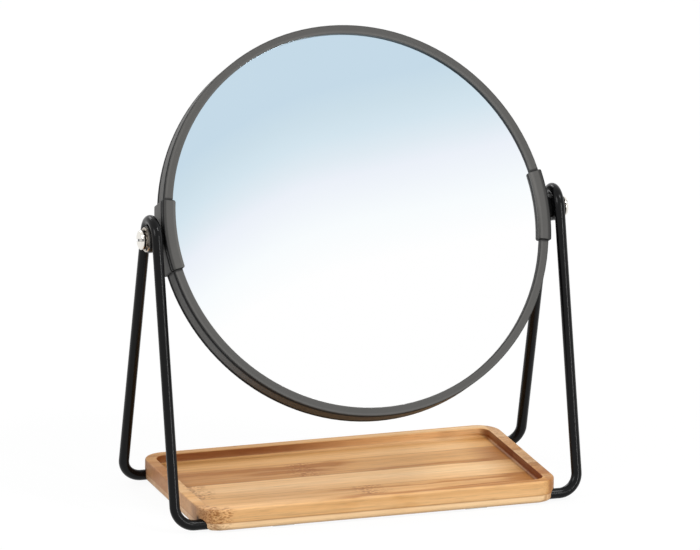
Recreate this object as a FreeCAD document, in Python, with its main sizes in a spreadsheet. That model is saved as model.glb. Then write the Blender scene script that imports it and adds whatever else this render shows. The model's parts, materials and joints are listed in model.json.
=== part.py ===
import FreeCAD, Part
import math
import os
import Sketcher
from FreeCAD import Placement, Rotation, Vector

# A round two-sided swivel mirror on a bent-wire stand, whose feet lie in the underside of a
# rectangular bamboo tray.  X runs along the pivots, -Y is the front and Z is up.  The origin
# lies on the table below the middle of the mirror.

doc = FreeCAD.newDocument("SwivelMirror")

# ---------------------------------------------------------------- driving dimensions
# Millimetres and degrees.
driving = [
    # ring and glasses
    ("glass_opening", "170"),        # clear diameter of the glass
    ("ring_depth", "12.6"),          # front face to rear face
    ("glass_overlap", "0.9"),        # rebate of the bezel over the edge of the glass
    ("skirt_wall", "0.7"),           # bezel wall round the edge of the glass
    ("skirt_reach", "3.4"),          # ring face to the end of the skirt
    ("slip_gap", "0.1"),             # play between bezel skirt and band
    ("band_wall", "2.15"),           # outer band
    ("bezel_flange", "1.4"),         # thickness of the flange that makes the visible face
    ("seam_gap", "0.6"),             # shadow line between flange and band
    ("front_lip", "1.8"),            # front face to plain glass
    ("rear_lip", "1.8"),             # rear face to the rim of the magnifying glass
    ("edge_round", "0.5"),
    ("seam_round", "0.6"),           # edges on both sides of the shadow line
    ("lip_round", "0.4"),
    ("glass_thickness", "1.8"),
    ("glass_play", "0.2"),           # glass edge to bezel skirt
    ("glass_bevel", "0.3"),
    ("magnifier_curve", "1400"),     # hollow radius of the magnifying glass
    ("spacer_width", "5"),
    ("spacer_play", "0.05"),
    # clasps
    ("clasp_span", "20.9"),          # angle that a clasp covers
    ("clasp_fit", "0.05"),
    ("clasp_wall", "1.0"),
    ("clasp_proud", "0.7"),          # clasp face in front of the ring face
    ("clasp_lip", "1.1"),            # overlap past the inner edge of the ring
    ("lip_flat", "0.1"),             # what the rounding leaves of the ends of the lip
    ("clasp_corner", "0.8"),
    ("clasp_round", "0.5"),
    ("boss_diameter", "10.2"),
    ("boss_height", "0.3"),
    # pivot
    ("screw_diameter", "4"),
    ("running_fit", "0.05"),         # radial play of the screw in the collar
    ("washer_play", "0.1"),          # radial play of washers and boss on the screw
    ("thread_play", "0.02"),
    ("face_gap", "0.05"),            # end play at each running face
    ("friction_washer", "1.4"),
    ("friction_diameter", "9.2"),    # of the friction washer and the collar's inner end
    ("collar_length", "4.6"),
    ("collar_nose", "0.6"),          # length of the collar's smaller inner end
    ("collar_bevel", "0.3"),
    ("washer_thickness", "0.7"),
    ("washer_diameter", "11"),
    ("lock_thickness", "0.7"),       # toothed lock washer under the head
    ("lock_root", "7.6"),            # diameter at the foot of the teeth
    ("lock_tip", "9.8"),
    ("lock_teeth", "10"),
    ("tooth_width", "1.4"),
    ("head_diameter", "8.8"),
    ("head_height", "2.1"),
    ("head_round", "1.1"),
    ("slot_width", "1.1"),
    ("slot_depth", "0.9"),
    ("slot_turn", "-13"),            # angle of the slot from the axis of the ring
    ("nut_thickness", "1.7"),
    ("nut_width", "6"),
    ("nut_length", "9"),
    ("nut_set", "0.15"),             # nut face below the outside of the band
    ("nut_play", "0.1"),
    # wire stand
    ("wire_diameter", "4.7"),
    ("crook_radius", "8.4"),         # centreline of the bend round the pivot
    ("foot_bend", "8.75"),           # centreline of the bend at each foot
    ("mirror_clearance", "24.55"),   # tray to the lowest sweep of the ring
    ("leg_standout", "7.85"),        # tray end to wire
    ("run_gap", "16"),               # between the facing ends of the wires under the tray
    ("rest_tilt", "28.5"),           # lean of the mirror as it stands
    # tray
    ("tray_depth", "91"),
    ("tray_height", "9.9"),
    ("tray_offset", "1.2"),          # middle of the tray behind the pivots
    ("tray_corner", "10.5"),
    ("rim_width", "5.15"),
    ("pocket_depth", "4"),
    ("pocket_round", "1.0"),
    ("bottom_round", "2.0"),
    ("top_round", "0.8"),
    ("rim_round", "0.5"),
    ("groove_inset", "5.4"),         # front of the tray to centre of the front groove
    ("groove_play", "0.3"),
    # straps, their screws and the pads under the tray
    ("strap_thickness", "0.4"),
    ("strap_width", "10"),
    ("strap_station", "45"),         # middle of the tray to middle of the strap
    ("strap_hold", "1.0"),           # strap past the far side of the groove
    ("strap_land", "4"),             # groove to screw, and screw to strap end
    ("strap_screw", "3"),
    ("strap_head", "5.6"),
    ("strap_screw_length", "4.6"),
    ("pad_diameter", "10"),
    ("pad_thickness", "1.2"),
    ("pad_recess", "0.4"),
    ("pad_play", "0.05"),
    ("pad_inset", "9"),              # tray end to centre of the pad
    ("pad_offset", "24"),            # middle of the tray to centre of the pad
]
sheet = doc.addObject("Spreadsheet::Sheet", "Sizes")
for row, (alias, number) in enumerate(driving, start=1):
    sheet.set("A%d" % row, number)
    sheet.setAlias("A%d" % row, alias)
doc.recompute()

# ---------------------------------------------------------------- sizes that follow from them
# Radii and Y stations of the mirror are in its own frame: the pivot axis is X and the axis of
# the ring is Y.
following = [
    ("opening_radius", "Sizes.glass_opening / 2"),
    ("skirt_inner", "opening_radius + Sizes.glass_overlap"),
    ("skirt_outer", "skirt_inner + Sizes.skirt_wall"),
    ("band_inner", "skirt_outer + Sizes.slip_gap"),
    ("ring_outer", "band_inner + Sizes.band_wall"),
    ("ring_half", "Sizes.ring_depth / 2"),
    ("band_half", "ring_half - Sizes.bezel_flange - Sizes.seam_gap"),
    ("glass_radius", "skirt_inner - Sizes.glass_play"),
    ("front_glass_face", "Sizes.front_lip - ring_half"),
    ("front_glass_back", "front_glass_face + Sizes.glass_thickness"),
    ("rear_glass_rim", "ring_half - Sizes.rear_lip"),
    ("magnifier_back", "Sizes.magnifier_curve + Sizes.glass_thickness"),
    ("magnifier_centre", "rear_glass_rim + sqrt(Sizes.magnifier_curve ^ 2 - glass_radius ^ 2)"),
    ("clasp_inner", "ring_outer + Sizes.clasp_fit"),
    ("clasp_outer", "clasp_inner + Sizes.clasp_wall"),
    ("lip_outer", "opening_radius - Sizes.clasp_fit"),
    ("lip_inner", "lip_outer - Sizes.clasp_lip"),
    ("clasp_half", "ring_half + Sizes.clasp_proud"),
    ("boss_end", "clasp_outer + Sizes.boss_height"),
    ("collar_start", "boss_end + Sizes.friction_washer + 2 * Sizes.face_gap"),
    ("wire_plane", "collar_start + Sizes.collar_length / 2"),
    ("collar_end", "collar_start + Sizes.collar_length"),
    ("washer_start", "collar_end + Sizes.face_gap"),
    ("lock_start", "washer_start + Sizes.washer_thickness"),
    ("head_seat", "lock_start + Sizes.lock_thickness"),
    ("nut_face", "ring_outer - Sizes.nut_set"),
    ("wire_radius", "Sizes.wire_diameter / 2"),
    ("collar_radius", "Sizes.crook_radius - wire_radius"),
    ("screw_radius", "Sizes.screw_diameter / 2"),
    ("tray_bottom", "Sizes.pad_thickness - Sizes.pad_recess"),
    ("tray_top", "tray_bottom + Sizes.tray_height"),
    ("strap_bottom", "tray_bottom - Sizes.strap_thickness"),
    ("run_height", "tray_bottom + wire_radius"),
    ("pivot_height", "tray_top + Sizes.mirror_clearance + sqrt(ring_outer ^ 2 + ring_half ^ 2)"),
    ("tray_half_length", "wire_plane - wire_radius - Sizes.leg_standout"),
    ("tray_half_depth", "Sizes.tray_depth / 2"),
    ("tray_front", "Sizes.tray_offset - tray_half_depth"),
    ("tray_back", "Sizes.tray_offset + tray_half_depth"),
    ("half_spread", "-tray_front - Sizes.groove_inset"),
    ("strap_screw_line", "half_spread - wire_radius - Sizes.strap_land"),
    ("strap_inside", "strap_screw_line - Sizes.strap_land"),
    ("strap_outside", "half_spread + wire_radius + Sizes.strap_hold"),
]
worked = doc.addObject("App::VarSet", "Worked")
for name, formula in following:
    worked.addProperty("App::PropertyFloat", name)
    worked.setExpression(name, formula)
doc.recompute()

upright = "placement(vector(0; 0; Worked.pivot_height); rotation(vector(1; 0; 0); 0))"
leaning = "placement(vector(0; 0; Worked.pivot_height); rotation(vector(1; 0; 0); -Sizes.rest_tilt))"
half_turn = "placement(vector(0; 0; 0); rotation(vector(0; 1; 0); 180))"
sides = {"right": "", "left": " * " + half_turn}

nodes = []

# ---------------------------------------------------------------- helpers


def new_body(name, placement=None):
    body = doc.addObject("PartDesign::Body", name)
    body.Label = name
    if placement:
        body.setExpression("Placement", placement)
    nodes.append(body)
    return body


def origin_plane(body, role):
    return next(item for item in body.Origin.OriginFeatures if item.Role == role)


def new_sketch(body, role, name, lift=None):
    sketch = body.newObject("Sketcher::SketchObject", name)
    sketch.AttachmentSupport = [(origin_plane(body, role), "")]
    sketch.MapMode = "FlatFace"
    if lift:
        sketch.setExpression("AttachmentOffset.Base.z", lift)
    return sketch


def bind(sketch, kind, geometry, point, start, formula):
    number = sketch.addConstraint(Sketcher.Constraint(kind, geometry, point, start))
    sketch.setExpression("Constraints[%d]" % number, formula)


def add_outline(sketch, corners):
    # Corners start on a rough circle, and their bound coordinates then pull them to size.
    count = len(corners)
    rough = [
        Vector(10 * math.cos(2 * math.pi * i / count), 10 * math.sin(2 * math.pi * i / count), 0)
        for i in range(count)
    ]
    first = sketch.GeometryCount
    for i in range(count):
        sketch.addGeometry(Part.LineSegment(rough[i], rough[(i + 1) % count]))
    for i in range(count):
        following_line = first + (i + 1) % count
        sketch.addConstraint(Sketcher.Constraint("Coincident", first + i, 2, following_line, 1))
    for i, (across, along) in enumerate(corners):
        bind(sketch, "DistanceX", first + i, 1, rough[i].x, across)
        bind(sketch, "DistanceY", first + i, 1, rough[i].y, along)


def rectangle(left, right, low, high):
    return [(left, low), (right, low), (right, high), (left, high)]


def add_circle(sketch, across, along, radius):
    circle = sketch.addGeometry(Part.Circle(Vector(5, 5, 0), Vector(0, 0, 1), 1))
    bind(sketch, "DistanceX", circle, 3, 5, across)
    bind(sketch, "DistanceY", circle, 3, 5, along)
    number = sketch.addConstraint(Sketcher.Constraint("Radius", circle, 1))
    sketch.setExpression("Constraints[%d]" % number, radius)


def revolve(body, sketch, axis, name, angle=None):
    turned = body.newObject("PartDesign::Revolution", name)
    turned.Profile = sketch
    turned.ReferenceAxis = (sketch, [axis])
    turned.Angle = 360
    if angle:
        turned.Midplane = True
        turned.setExpression("Angle", angle)
    doc.recompute()
    return turned


def pad(body, sketch, name, length):
    padded = body.newObject("PartDesign::Pad", name)
    padded.Profile = sketch
    padded.setExpression("Length", length)
    doc.recompute()
    return padded


def pocket(body, sketch, name, depth=None, upwards=False, both_ways=False):
    before = body.Shape.Volume
    cut = body.newObject("PartDesign::Pocket", name)
    cut.Profile = sketch
    cut.Reversed = upwards
    if depth:
        cut.setExpression("Length", depth)
    else:
        cut.Type = "ThroughAll"
    if both_ways:
        cut.SideType = "Symmetric"
    doc.recompute()
    if body.Shape.Volume >= before:
        raise RuntimeError("%s of %s cuts nothing" % (name, body.Label))
    return cut


def dress(body, kind, name, size, chosen):
    base = body.Tip
    edges = ["Edge%d" % (i + 1) for i, edge in enumerate(base.Shape.Edges) if chosen(edge)]
    if not edges:
        raise RuntimeError("%s of %s finds no edge" % (name, body.Label))
    feature = body.newObject("PartDesign::" + kind, name)
    feature.Base = (base, edges)
    feature.setExpression("Radius" if kind == "Fillet" else "Size", size)
    doc.recompute()
    return feature


hair = 0.01  # mm, the slack with which edges are told apart


def near(value, target):
    return abs(value - target) < hair


def is_straight(edge, direction):
    if edge.Curve.TypeId != "Part::GeomLine":
        return False
    return edge.Curve.Direction.cross(direction).Length < 1e-6


def is_rim(edge, radius, axis, station):
    # A circle of this radius about the given axis, at this station along it.
    if edge.Curve.TypeId != "Part::GeomCircle":
        return False
    return near(edge.Curve.Radius, radius) and near(edge.Curve.Center.dot(axis), station)


def lies_in(edge, axis, station):
    box = edge.BoundBox
    low = Vector(box.XMin, box.YMin, box.ZMin).dot(axis)
    high = Vector(box.XMax, box.YMax, box.ZMax).dot(axis)
    return near(low, station) and near(high, station)


AXIS_X = Vector(1, 0, 0)
AXIS_Y = Vector(0, 1, 0)
AXIS_Z = Vector(0, 0, 1)

# ---------------------------------------------------------------- ring of the mirror


def make_bezel(name, sign, lip):
    # The flange is the visible face.  The skirt fits in the band, and its rebate holds the glass.
    face = "%sWorked.ring_half" % sign
    flange_back = "%s(Worked.ring_half - Sizes.bezel_flange)" % sign
    seat = "%s(Worked.ring_half - %s)" % (sign, lip)
    skirt_end = "%s(Worked.ring_half - Sizes.skirt_reach)" % sign
    body = new_body(name, leaning)
    sketch = new_sketch(body, "XY_Plane", name + "_section")
    add_outline(sketch, [
        ("Worked.opening_radius", face),
        ("Worked.ring_outer", face),
        ("Worked.ring_outer", flange_back),
        ("Worked.skirt_outer", flange_back),
        ("Worked.skirt_outer", skirt_end),
        ("Worked.skirt_inner", skirt_end),
        ("Worked.skirt_inner", seat),
        ("Worked.opening_radius", seat),
    ])
    revolve(body, sketch, "V_Axis", name + "_turned")
    station = float(sign + "1") * worked.ring_half
    dress(body, "Fillet", name + "_outer_round", "Sizes.edge_round",
          lambda edge: is_rim(edge, worked.ring_outer, AXIS_Y, station))
    dress(body, "Fillet", name + "_inner_round", "Sizes.lip_round",
          lambda edge: is_rim(edge, worked.opening_radius, AXIS_Y, station))
    seam = float(sign + "1") * (worked.ring_half - sheet.bezel_flange)
    dress(body, "Fillet", name + "_seam_round", "Sizes.seam_round",
          lambda edge: is_rim(edge, worked.ring_outer, AXIS_Y, seam))


make_bezel("front_bezel", "-", "Sizes.front_lip")
make_bezel("rear_bezel", "+", "Sizes.rear_lip")

# The band joins the bezels, and has a window at each pivot for the nut plate.
ring_band = new_body("ring_band", leaning)
band_section = new_sketch(ring_band, "XY_Plane", "band_section")
add_outline(band_section, rectangle(
    "Worked.band_inner", "Worked.ring_outer", "-Worked.band_half", "Worked.band_half"))
revolve(ring_band, band_section, "V_Axis", "band_turned")
dress(ring_band, "Fillet", "band_seam_round", "Sizes.seam_round",
      lambda edge: edge.Curve.TypeId == "Part::GeomCircle"
      and near(edge.Curve.Radius, worked.ring_outer))
window = new_sketch(ring_band, "YZ_Plane", "nut_windows")
add_outline(window, rectangle(
    "-Sizes.nut_width / 2 - Sizes.nut_play", "Sizes.nut_width / 2 + Sizes.nut_play",
    "-Sizes.nut_length / 2 - Sizes.nut_play", "Sizes.nut_length / 2 + Sizes.nut_play"))
pocket(ring_band, window, "nut_windows_cut", both_ways=True)

# Plain glass in front, with ground edges.
front_glass = new_body("front_glass", leaning)
glass_section = new_sketch(front_glass, "XY_Plane", "front_glass_section")
add_outline(glass_section, rectangle(
    "0", "Worked.glass_radius", "Worked.front_glass_face", "Worked.front_glass_back"))
revolve(front_glass, glass_section, "V_Axis", "front_glass_turned")
dress(front_glass, "Chamfer", "front_glass_bevel", "Sizes.glass_bevel",
      lambda edge: edge.Curve.TypeId == "Part::GeomCircle")

# The magnifying glass is a hollow bowl: the space between two spheres about one centre, cut
# round.  The spacer behind it has the same hollow on its rear.


def add_sphere(name, radius):
    sphere = doc.addObject("Part::Sphere", name)
    sphere.setExpression("Radius", radius)
    sphere.setExpression("Placement.Base.y", "Worked.magnifier_centre")
    return sphere


def add_disc(name, radius, start, end):
    disc = doc.addObject("Part::Cylinder", name)
    disc.setExpression("Radius", radius)
    disc.setExpression("Height", "%s - (%s)" % (end, start))
    disc.setExpression(
        "Placement", "placement(vector(0; %s; 0); rotation(vector(1; 0; 0); -90))" % start)
    return disc


def combine(kind, name, base, tool):
    result = doc.addObject("Part::" + kind, name)
    result.Base = base
    result.Tool = tool
    return result


hollow = add_sphere("magnifier_hollow", "Sizes.magnifier_curve")
crown = add_sphere("magnifier_crown", "Worked.magnifier_back")
blank = add_disc("magnifier_blank", "Worked.glass_radius",
                 "Worked.front_glass_back", "Worked.rear_glass_rim")
domed = combine("Common", "magnifier_domed", blank, crown)
rear_glass = combine("Cut", "rear_glass", domed, hollow)
rear_glass.setExpression("Placement", leaning)
nodes.append(rear_glass)

crown_play = add_sphere("spacer_hollow", "Worked.magnifier_back + Sizes.spacer_play")
spacer_disc = add_disc("spacer_disc", "Worked.glass_radius",
                       "Worked.front_glass_back", "Worked.rear_glass_rim")
spacer_hole = add_disc("spacer_hole", "Worked.glass_radius - Sizes.spacer_width",
                       "Worked.front_glass_face", "Worked.ring_half")
spacer_ring = combine("Cut", "spacer_ring", spacer_disc, spacer_hole)
glass_spacer = combine("Cut", "glass_spacer", spacer_ring, crown_play)
glass_spacer.setExpression("Placement", leaning)
nodes.append(glass_spacer)
doc.recompute()

# ---------------------------------------------------------------- clasps
# A clasp grips the ring from behind and carries the pivot boss.  Its cover closes it in front
# and is notched for the boss, and their joint carries on the shadow line of the ring.


def round_corners(body, name):
    def stands_at(edge, radius):
        middle = edge.CenterOfMass
        return is_straight(edge, AXIS_Y) and near(math.hypot(middle.x, middle.z), radius)

    dress(body, "Fillet", name + "_corners", "Sizes.clasp_corner",
          lambda edge: stands_at(edge, worked.clasp_outer))
    dress(body, "Fillet", name + "_lip_corners", "Sizes.clasp_lip - Sizes.lip_flat",
          lambda edge: stands_at(edge, worked.lip_inner))


def make_clasp(side):
    name = side + "_clasp"
    body = new_body(name, leaning + sides[side])
    sketch = new_sketch(body, "XY_Plane", name + "_section")
    add_outline(sketch, [
        ("Worked.clasp_inner", "-Worked.band_half"),
        ("Worked.clasp_outer", "-Worked.band_half"),
        ("Worked.clasp_outer", "Worked.clasp_half"),
        ("Worked.lip_inner", "Worked.clasp_half"),
        ("Worked.lip_inner", "Worked.rear_glass_rim + Sizes.clasp_fit"),
        ("Worked.lip_outer", "Worked.rear_glass_rim + Sizes.clasp_fit"),
        ("Worked.lip_outer", "Worked.ring_half + Sizes.clasp_fit"),
        ("Worked.clasp_inner", "Worked.ring_half + Sizes.clasp_fit"),
    ])
    revolve(body, sketch, "V_Axis", name + "_turned", "Sizes.clasp_span")
    round_corners(body, name)
    dress(body, "Fillet", name + "_edge", "Sizes.clasp_round",
          lambda edge: is_rim(edge, worked.clasp_outer, AXIS_Y, worked.clasp_half)
          or is_rim(edge, worked.clasp_outer, AXIS_Y, -worked.band_half))
    boss = new_sketch(body, "YZ_Plane", name + "_boss",
                      "Worked.clasp_inner + Sizes.clasp_wall / 2")
    add_circle(boss, "0", "0", "Sizes.boss_diameter / 2")
    pad(body, boss, name + "_boss_pad", "Sizes.boss_height + Sizes.clasp_wall / 2")
    bore = new_sketch(body, "YZ_Plane", name + "_bore", "Worked.boss_end")
    add_circle(bore, "0", "0", "Worked.screw_radius + Sizes.washer_play")
    pocket(body, bore, name + "_bore_cut", "Worked.boss_end - Worked.opening_radius")


def make_clasp_cover(side):
    name = side + "_clasp_cover"
    body = new_body(name, leaning + sides[side])
    sketch = new_sketch(body, "XY_Plane", name + "_section")
    add_outline(sketch, [
        ("Worked.lip_inner", "-Worked.clasp_half"),
        ("Worked.clasp_outer", "-Worked.clasp_half"),
        ("Worked.clasp_outer", "Sizes.bezel_flange - Worked.ring_half"),
        ("Worked.clasp_inner", "Sizes.bezel_flange - Worked.ring_half"),
        ("Worked.clasp_inner", "-Worked.ring_half - Sizes.clasp_fit"),
        ("Worked.lip_outer", "-Worked.ring_half - Sizes.clasp_fit"),
        ("Worked.lip_outer", "Worked.front_glass_face - Sizes.clasp_fit"),
        ("Worked.lip_inner", "Worked.front_glass_face - Sizes.clasp_fit"),
    ])
    revolve(body, sketch, "V_Axis", name + "_turned", "Sizes.clasp_span")
    round_corners(body, name)
    seam = sheet.bezel_flange - worked.ring_half
    dress(body, "Fillet", name + "_edge", "Sizes.clasp_round",
          lambda edge: is_rim(edge, worked.clasp_outer, AXIS_Y, -worked.clasp_half)
          or is_rim(edge, worked.lip_inner, AXIS_Y, -worked.clasp_half)
          or is_rim(edge, worked.clasp_outer, AXIS_Y, seam))
    notch = new_sketch(body, "YZ_Plane", name + "_notch", "Worked.boss_end")
    add_circle(notch, "0", "0", "Sizes.boss_diameter / 2 + Sizes.clasp_fit")
    pocket(body, notch, name + "_notch_cut", "Worked.boss_end - Worked.ring_outer")


for side in sides:
    make_clasp(side)
    make_clasp_cover(side)

# ---------------------------------------------------------------- pivots
# From the ring outwards: nut plate in the band, clasp boss, friction washer, collar in the
# crook of the wire, flat washer, lock washer and screw head.  The screw turns with the mirror.


def make_nut_plate(side):
    name = side + "_nut_plate"
    body = new_body(name, leaning + sides[side])
    sketch = new_sketch(body, "YZ_Plane", name + "_face",
                        "Worked.nut_face - Sizes.nut_thickness")
    add_outline(sketch, rectangle(
        "-Sizes.nut_width / 2", "Sizes.nut_width / 2",
        "-Sizes.nut_length / 2", "Sizes.nut_length / 2"))
    add_circle(sketch, "0", "0", "Worked.screw_radius + Sizes.thread_play")
    pad(body, sketch, name + "_pad", "Sizes.nut_thickness")


def make_pivot_screw(side):
    name = side + "_pivot_screw"
    body = new_body(name, leaning + sides[side])
    sketch = new_sketch(body, "XY_Plane", name + "_section")
    add_outline(sketch, [
        ("Worked.nut_face - Sizes.nut_thickness", "0"),
        ("Worked.head_seat + Sizes.head_height", "0"),
        ("Worked.head_seat + Sizes.head_height", "Sizes.head_diameter / 2"),
        ("Worked.head_seat", "Sizes.head_diameter / 2"),
        ("Worked.head_seat", "Worked.screw_radius"),
        ("Worked.nut_face - Sizes.nut_thickness", "Worked.screw_radius"),
    ])
    revolve(body, sketch, "H_Axis", name + "_turned")
    head_end = worked.head_seat + sheet.head_height
    dress(body, "Fillet", name + "_dome", "Sizes.head_round",
          lambda edge: is_rim(edge, sheet.head_diameter / 2, AXIS_X, head_end))
    slot = new_sketch(body, "YZ_Plane", name + "_slot",
                      "Worked.head_seat + Sizes.head_height")
    slot.setExpression("AttachmentOffset.Rotation.Angle", "Sizes.slot_turn")
    add_outline(slot, rectangle(
        "-Sizes.head_diameter", "Sizes.head_diameter",
        "-Sizes.slot_width / 2", "Sizes.slot_width / 2"))
    pocket(body, slot, name + "_slot_cut", "Sizes.slot_depth")


def make_ring_piece(name, placement, start, end, outer, inner):
    # A plain washer between two stations along the pivot axis.
    body = new_body(name, placement)
    sketch = new_sketch(body, "YZ_Plane", name + "_face", start)
    add_circle(sketch, "0", "0", outer)
    add_circle(sketch, "0", "0", inner)
    pad(body, sketch, name + "_pad", "%s - (%s)" % (end, start))


def make_lock_washer(side):
    # A toothed ring: one tooth on the rim, repeated round the screw.
    name = side + "_lock_washer"
    body = new_body(name, leaning + sides[side])
    face = new_sketch(body, "YZ_Plane", name + "_face", "Worked.lock_start")
    add_circle(face, "0", "0", "Sizes.lock_root / 2")
    add_circle(face, "0", "0", "Worked.screw_radius + Sizes.washer_play")
    pad(body, face, name + "_ring", "Sizes.lock_thickness")
    outline = new_sketch(body, "YZ_Plane", name + "_tooth_outline", "Worked.lock_start")
    add_outline(outline, rectangle(
        "(Sizes.lock_root + Sizes.screw_diameter) / 4", "Sizes.lock_tip / 2",
        "-Sizes.tooth_width / 2", "Sizes.tooth_width / 2"))
    tooth = pad(body, outline, name + "_tooth", "Sizes.lock_thickness")
    teeth = body.newObject("PartDesign::PolarPattern", name + "_teeth")
    teeth.Originals = [tooth]
    teeth.Axis = (outline, ["N_Axis"])
    teeth.Angle = 360
    teeth.setExpression("Occurrences", "Sizes.lock_teeth")
    body.Tip = teeth
    doc.recompute()


def make_collar(side):
    name = side + "_pivot_collar"
    body = new_body(name, upright + sides[side])
    sketch = new_sketch(body, "XY_Plane", name + "_section")
    add_outline(sketch, [
        ("Worked.collar_start", "Worked.screw_radius + Sizes.running_fit"),
        ("Worked.collar_end", "Worked.screw_radius + Sizes.running_fit"),
        ("Worked.collar_end", "Worked.collar_radius"),
        ("Worked.collar_start + Sizes.collar_nose", "Worked.collar_radius"),
        ("Worked.collar_start + Sizes.collar_nose", "Sizes.friction_diameter / 2"),
        ("Worked.collar_start", "Sizes.friction_diameter / 2"),
    ])
    revolve(body, sketch, "H_Axis", name + "_turned")
    dress(body, "Chamfer", name + "_bevel", "Sizes.collar_bevel",
          lambda edge: is_rim(edge, worked.collar_radius, AXIS_X, worked.collar_end))


for side in sides:
    make_nut_plate(side)
    make_pivot_screw(side)
    make_ring_piece(
        side + "_washer", leaning + sides[side], "Worked.washer_start", "Worked.lock_start",
        "Sizes.washer_diameter / 2", "Worked.screw_radius + Sizes.washer_play")
    make_lock_washer(side)
    make_ring_piece(
        side + "_friction_washer", upright + sides[side],
        "Worked.boss_end + Sizes.face_gap", "Worked.collar_start - Sizes.face_gap",
        "Sizes.friction_diameter / 2", "Worked.screw_radius + Sizes.washer_play")
    make_collar(side)

# ---------------------------------------------------------------- wire stand
# Each side is one length of round wire: a run under the front of the tray, a foot bend, the
# front leg, the crook over the pivot, and the same again towards the back.


def wire_centreline(sign):
    crook, bend = sheet.crook_radius, sheet.foot_bend
    plane, spread = sign * worked.wire_plane, worked.half_spread
    low, high = worked.run_height, worked.pivot_height
    lean = math.atan2(spread, high - low) - math.asin(crook / math.hypot(spread, high - low))
    inwards = Vector(-sign, 0, 0)
    points = []
    for end in (-1, 1):
        foot = Vector(plane, end * spread, low)
        up_leg = Vector(0, -end * math.sin(lean), math.cos(lean))
        middle = foot + (inwards + up_leg) * bend - (inwards + up_leg).normalize() * bend
        crook_end = Vector(plane, end * crook * math.cos(lean), high + crook * math.sin(lean))
        run_end = Vector(sign * sheet.run_gap / 2, end * spread, low)
        points.append((run_end, foot + inwards * bend, middle, foot + up_leg * bend, crook_end))
    front, back = points
    crook_top = Vector(plane, 0, high + crook)
    return Part.Wire([
        Part.LineSegment(front[0], front[1]).toShape(),
        Part.Arc(front[1], front[2], front[3]).toShape(),
        Part.LineSegment(front[3], front[4]).toShape(),
        Part.Arc(front[4], crook_top, back[4]).toShape(),
        Part.LineSegment(back[4], back[3]).toShape(),
        Part.Arc(back[3], back[2], back[1]).toShape(),
        Part.LineSegment(back[1], back[0]).toShape(),
    ])


def make_wire(side, sign):
    centreline = doc.addObject("Part::Feature", side + "_wire_centreline")
    centreline.Shape = wire_centreline(sign)
    section = doc.addObject("Part::Circle", side + "_wire_section")
    section.setExpression("Radius", "Worked.wire_radius")
    section.Placement = Placement(
        centreline.Shape.Vertexes[0].Point, Rotation(AXIS_Z, Vector(sign, 0, 0)))
    wire = doc.addObject("Part::Sweep", side + "_wire")
    wire.Sections = [section]
    wire.Spine = (centreline, ["Edge%d" % (i + 1) for i in range(len(centreline.Shape.Edges))])
    wire.Solid = True
    nodes.append(wire)
    doc.recompute()


make_wire("left", -1)
make_wire("right", 1)

# ---------------------------------------------------------------- bamboo tray

bamboo_tray = new_body("bamboo_tray")
outline = new_sketch(bamboo_tray, "XY_Plane", "tray_outline", "Worked.tray_bottom")
add_outline(outline, rectangle(
    "-Worked.tray_half_length", "Worked.tray_half_length",
    "Worked.tray_front", "Worked.tray_back"))
pad(bamboo_tray, outline, "tray_board", "Sizes.tray_height")
dress(bamboo_tray, "Fillet", "tray_corners", "Sizes.tray_corner",
      lambda edge: is_straight(edge, AXIS_Z))

well = new_sketch(bamboo_tray, "XY_Plane", "well_outline", "Worked.tray_top")
add_outline(well, rectangle(
    "Sizes.rim_width - Worked.tray_half_length", "Worked.tray_half_length - Sizes.rim_width",
    "Worked.tray_front + Sizes.rim_width", "Worked.tray_back - Sizes.rim_width"))
pocket(bamboo_tray, well, "well", "Sizes.pocket_depth")
well_side = worked.tray_half_length - sheet.rim_width
well_half_depth = worked.tray_half_depth - sheet.rim_width
dress(bamboo_tray, "Fillet", "well_corners", "Sizes.tray_corner - Sizes.rim_width",
      lambda edge: is_straight(edge, AXIS_Z) and near(abs(edge.CenterOfMass.x), well_side))


def is_outside(edge):
    # The outline of the tray, and not that of the well.
    middle = edge.valueAt((edge.FirstParameter + edge.LastParameter) / 2)
    return abs(middle.x) > well_side or abs(middle.y - sheet.tray_offset) > well_half_depth


well_floor = worked.tray_top - sheet.pocket_depth
dress(bamboo_tray, "Fillet", "well_floor_round", "Sizes.pocket_round",
      lambda edge: lies_in(edge, AXIS_Z, well_floor))
dress(bamboo_tray, "Fillet", "underside_round", "Sizes.bottom_round",
      lambda edge: lies_in(edge, AXIS_Z, worked.tray_bottom))
dress(bamboo_tray, "Fillet", "top_edge_round", "Sizes.top_round",
      lambda edge: lies_in(edge, AXIS_Z, worked.tray_top) and is_outside(edge))
dress(bamboo_tray, "Fillet", "well_edge_round", "Sizes.rim_round",
      lambda edge: lies_in(edge, AXIS_Z, worked.tray_top)
      and abs(edge.BoundBox.Center.x) <= well_side + hair
      and abs(edge.BoundBox.Center.y - sheet.tray_offset) <= well_half_depth + hair)


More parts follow.
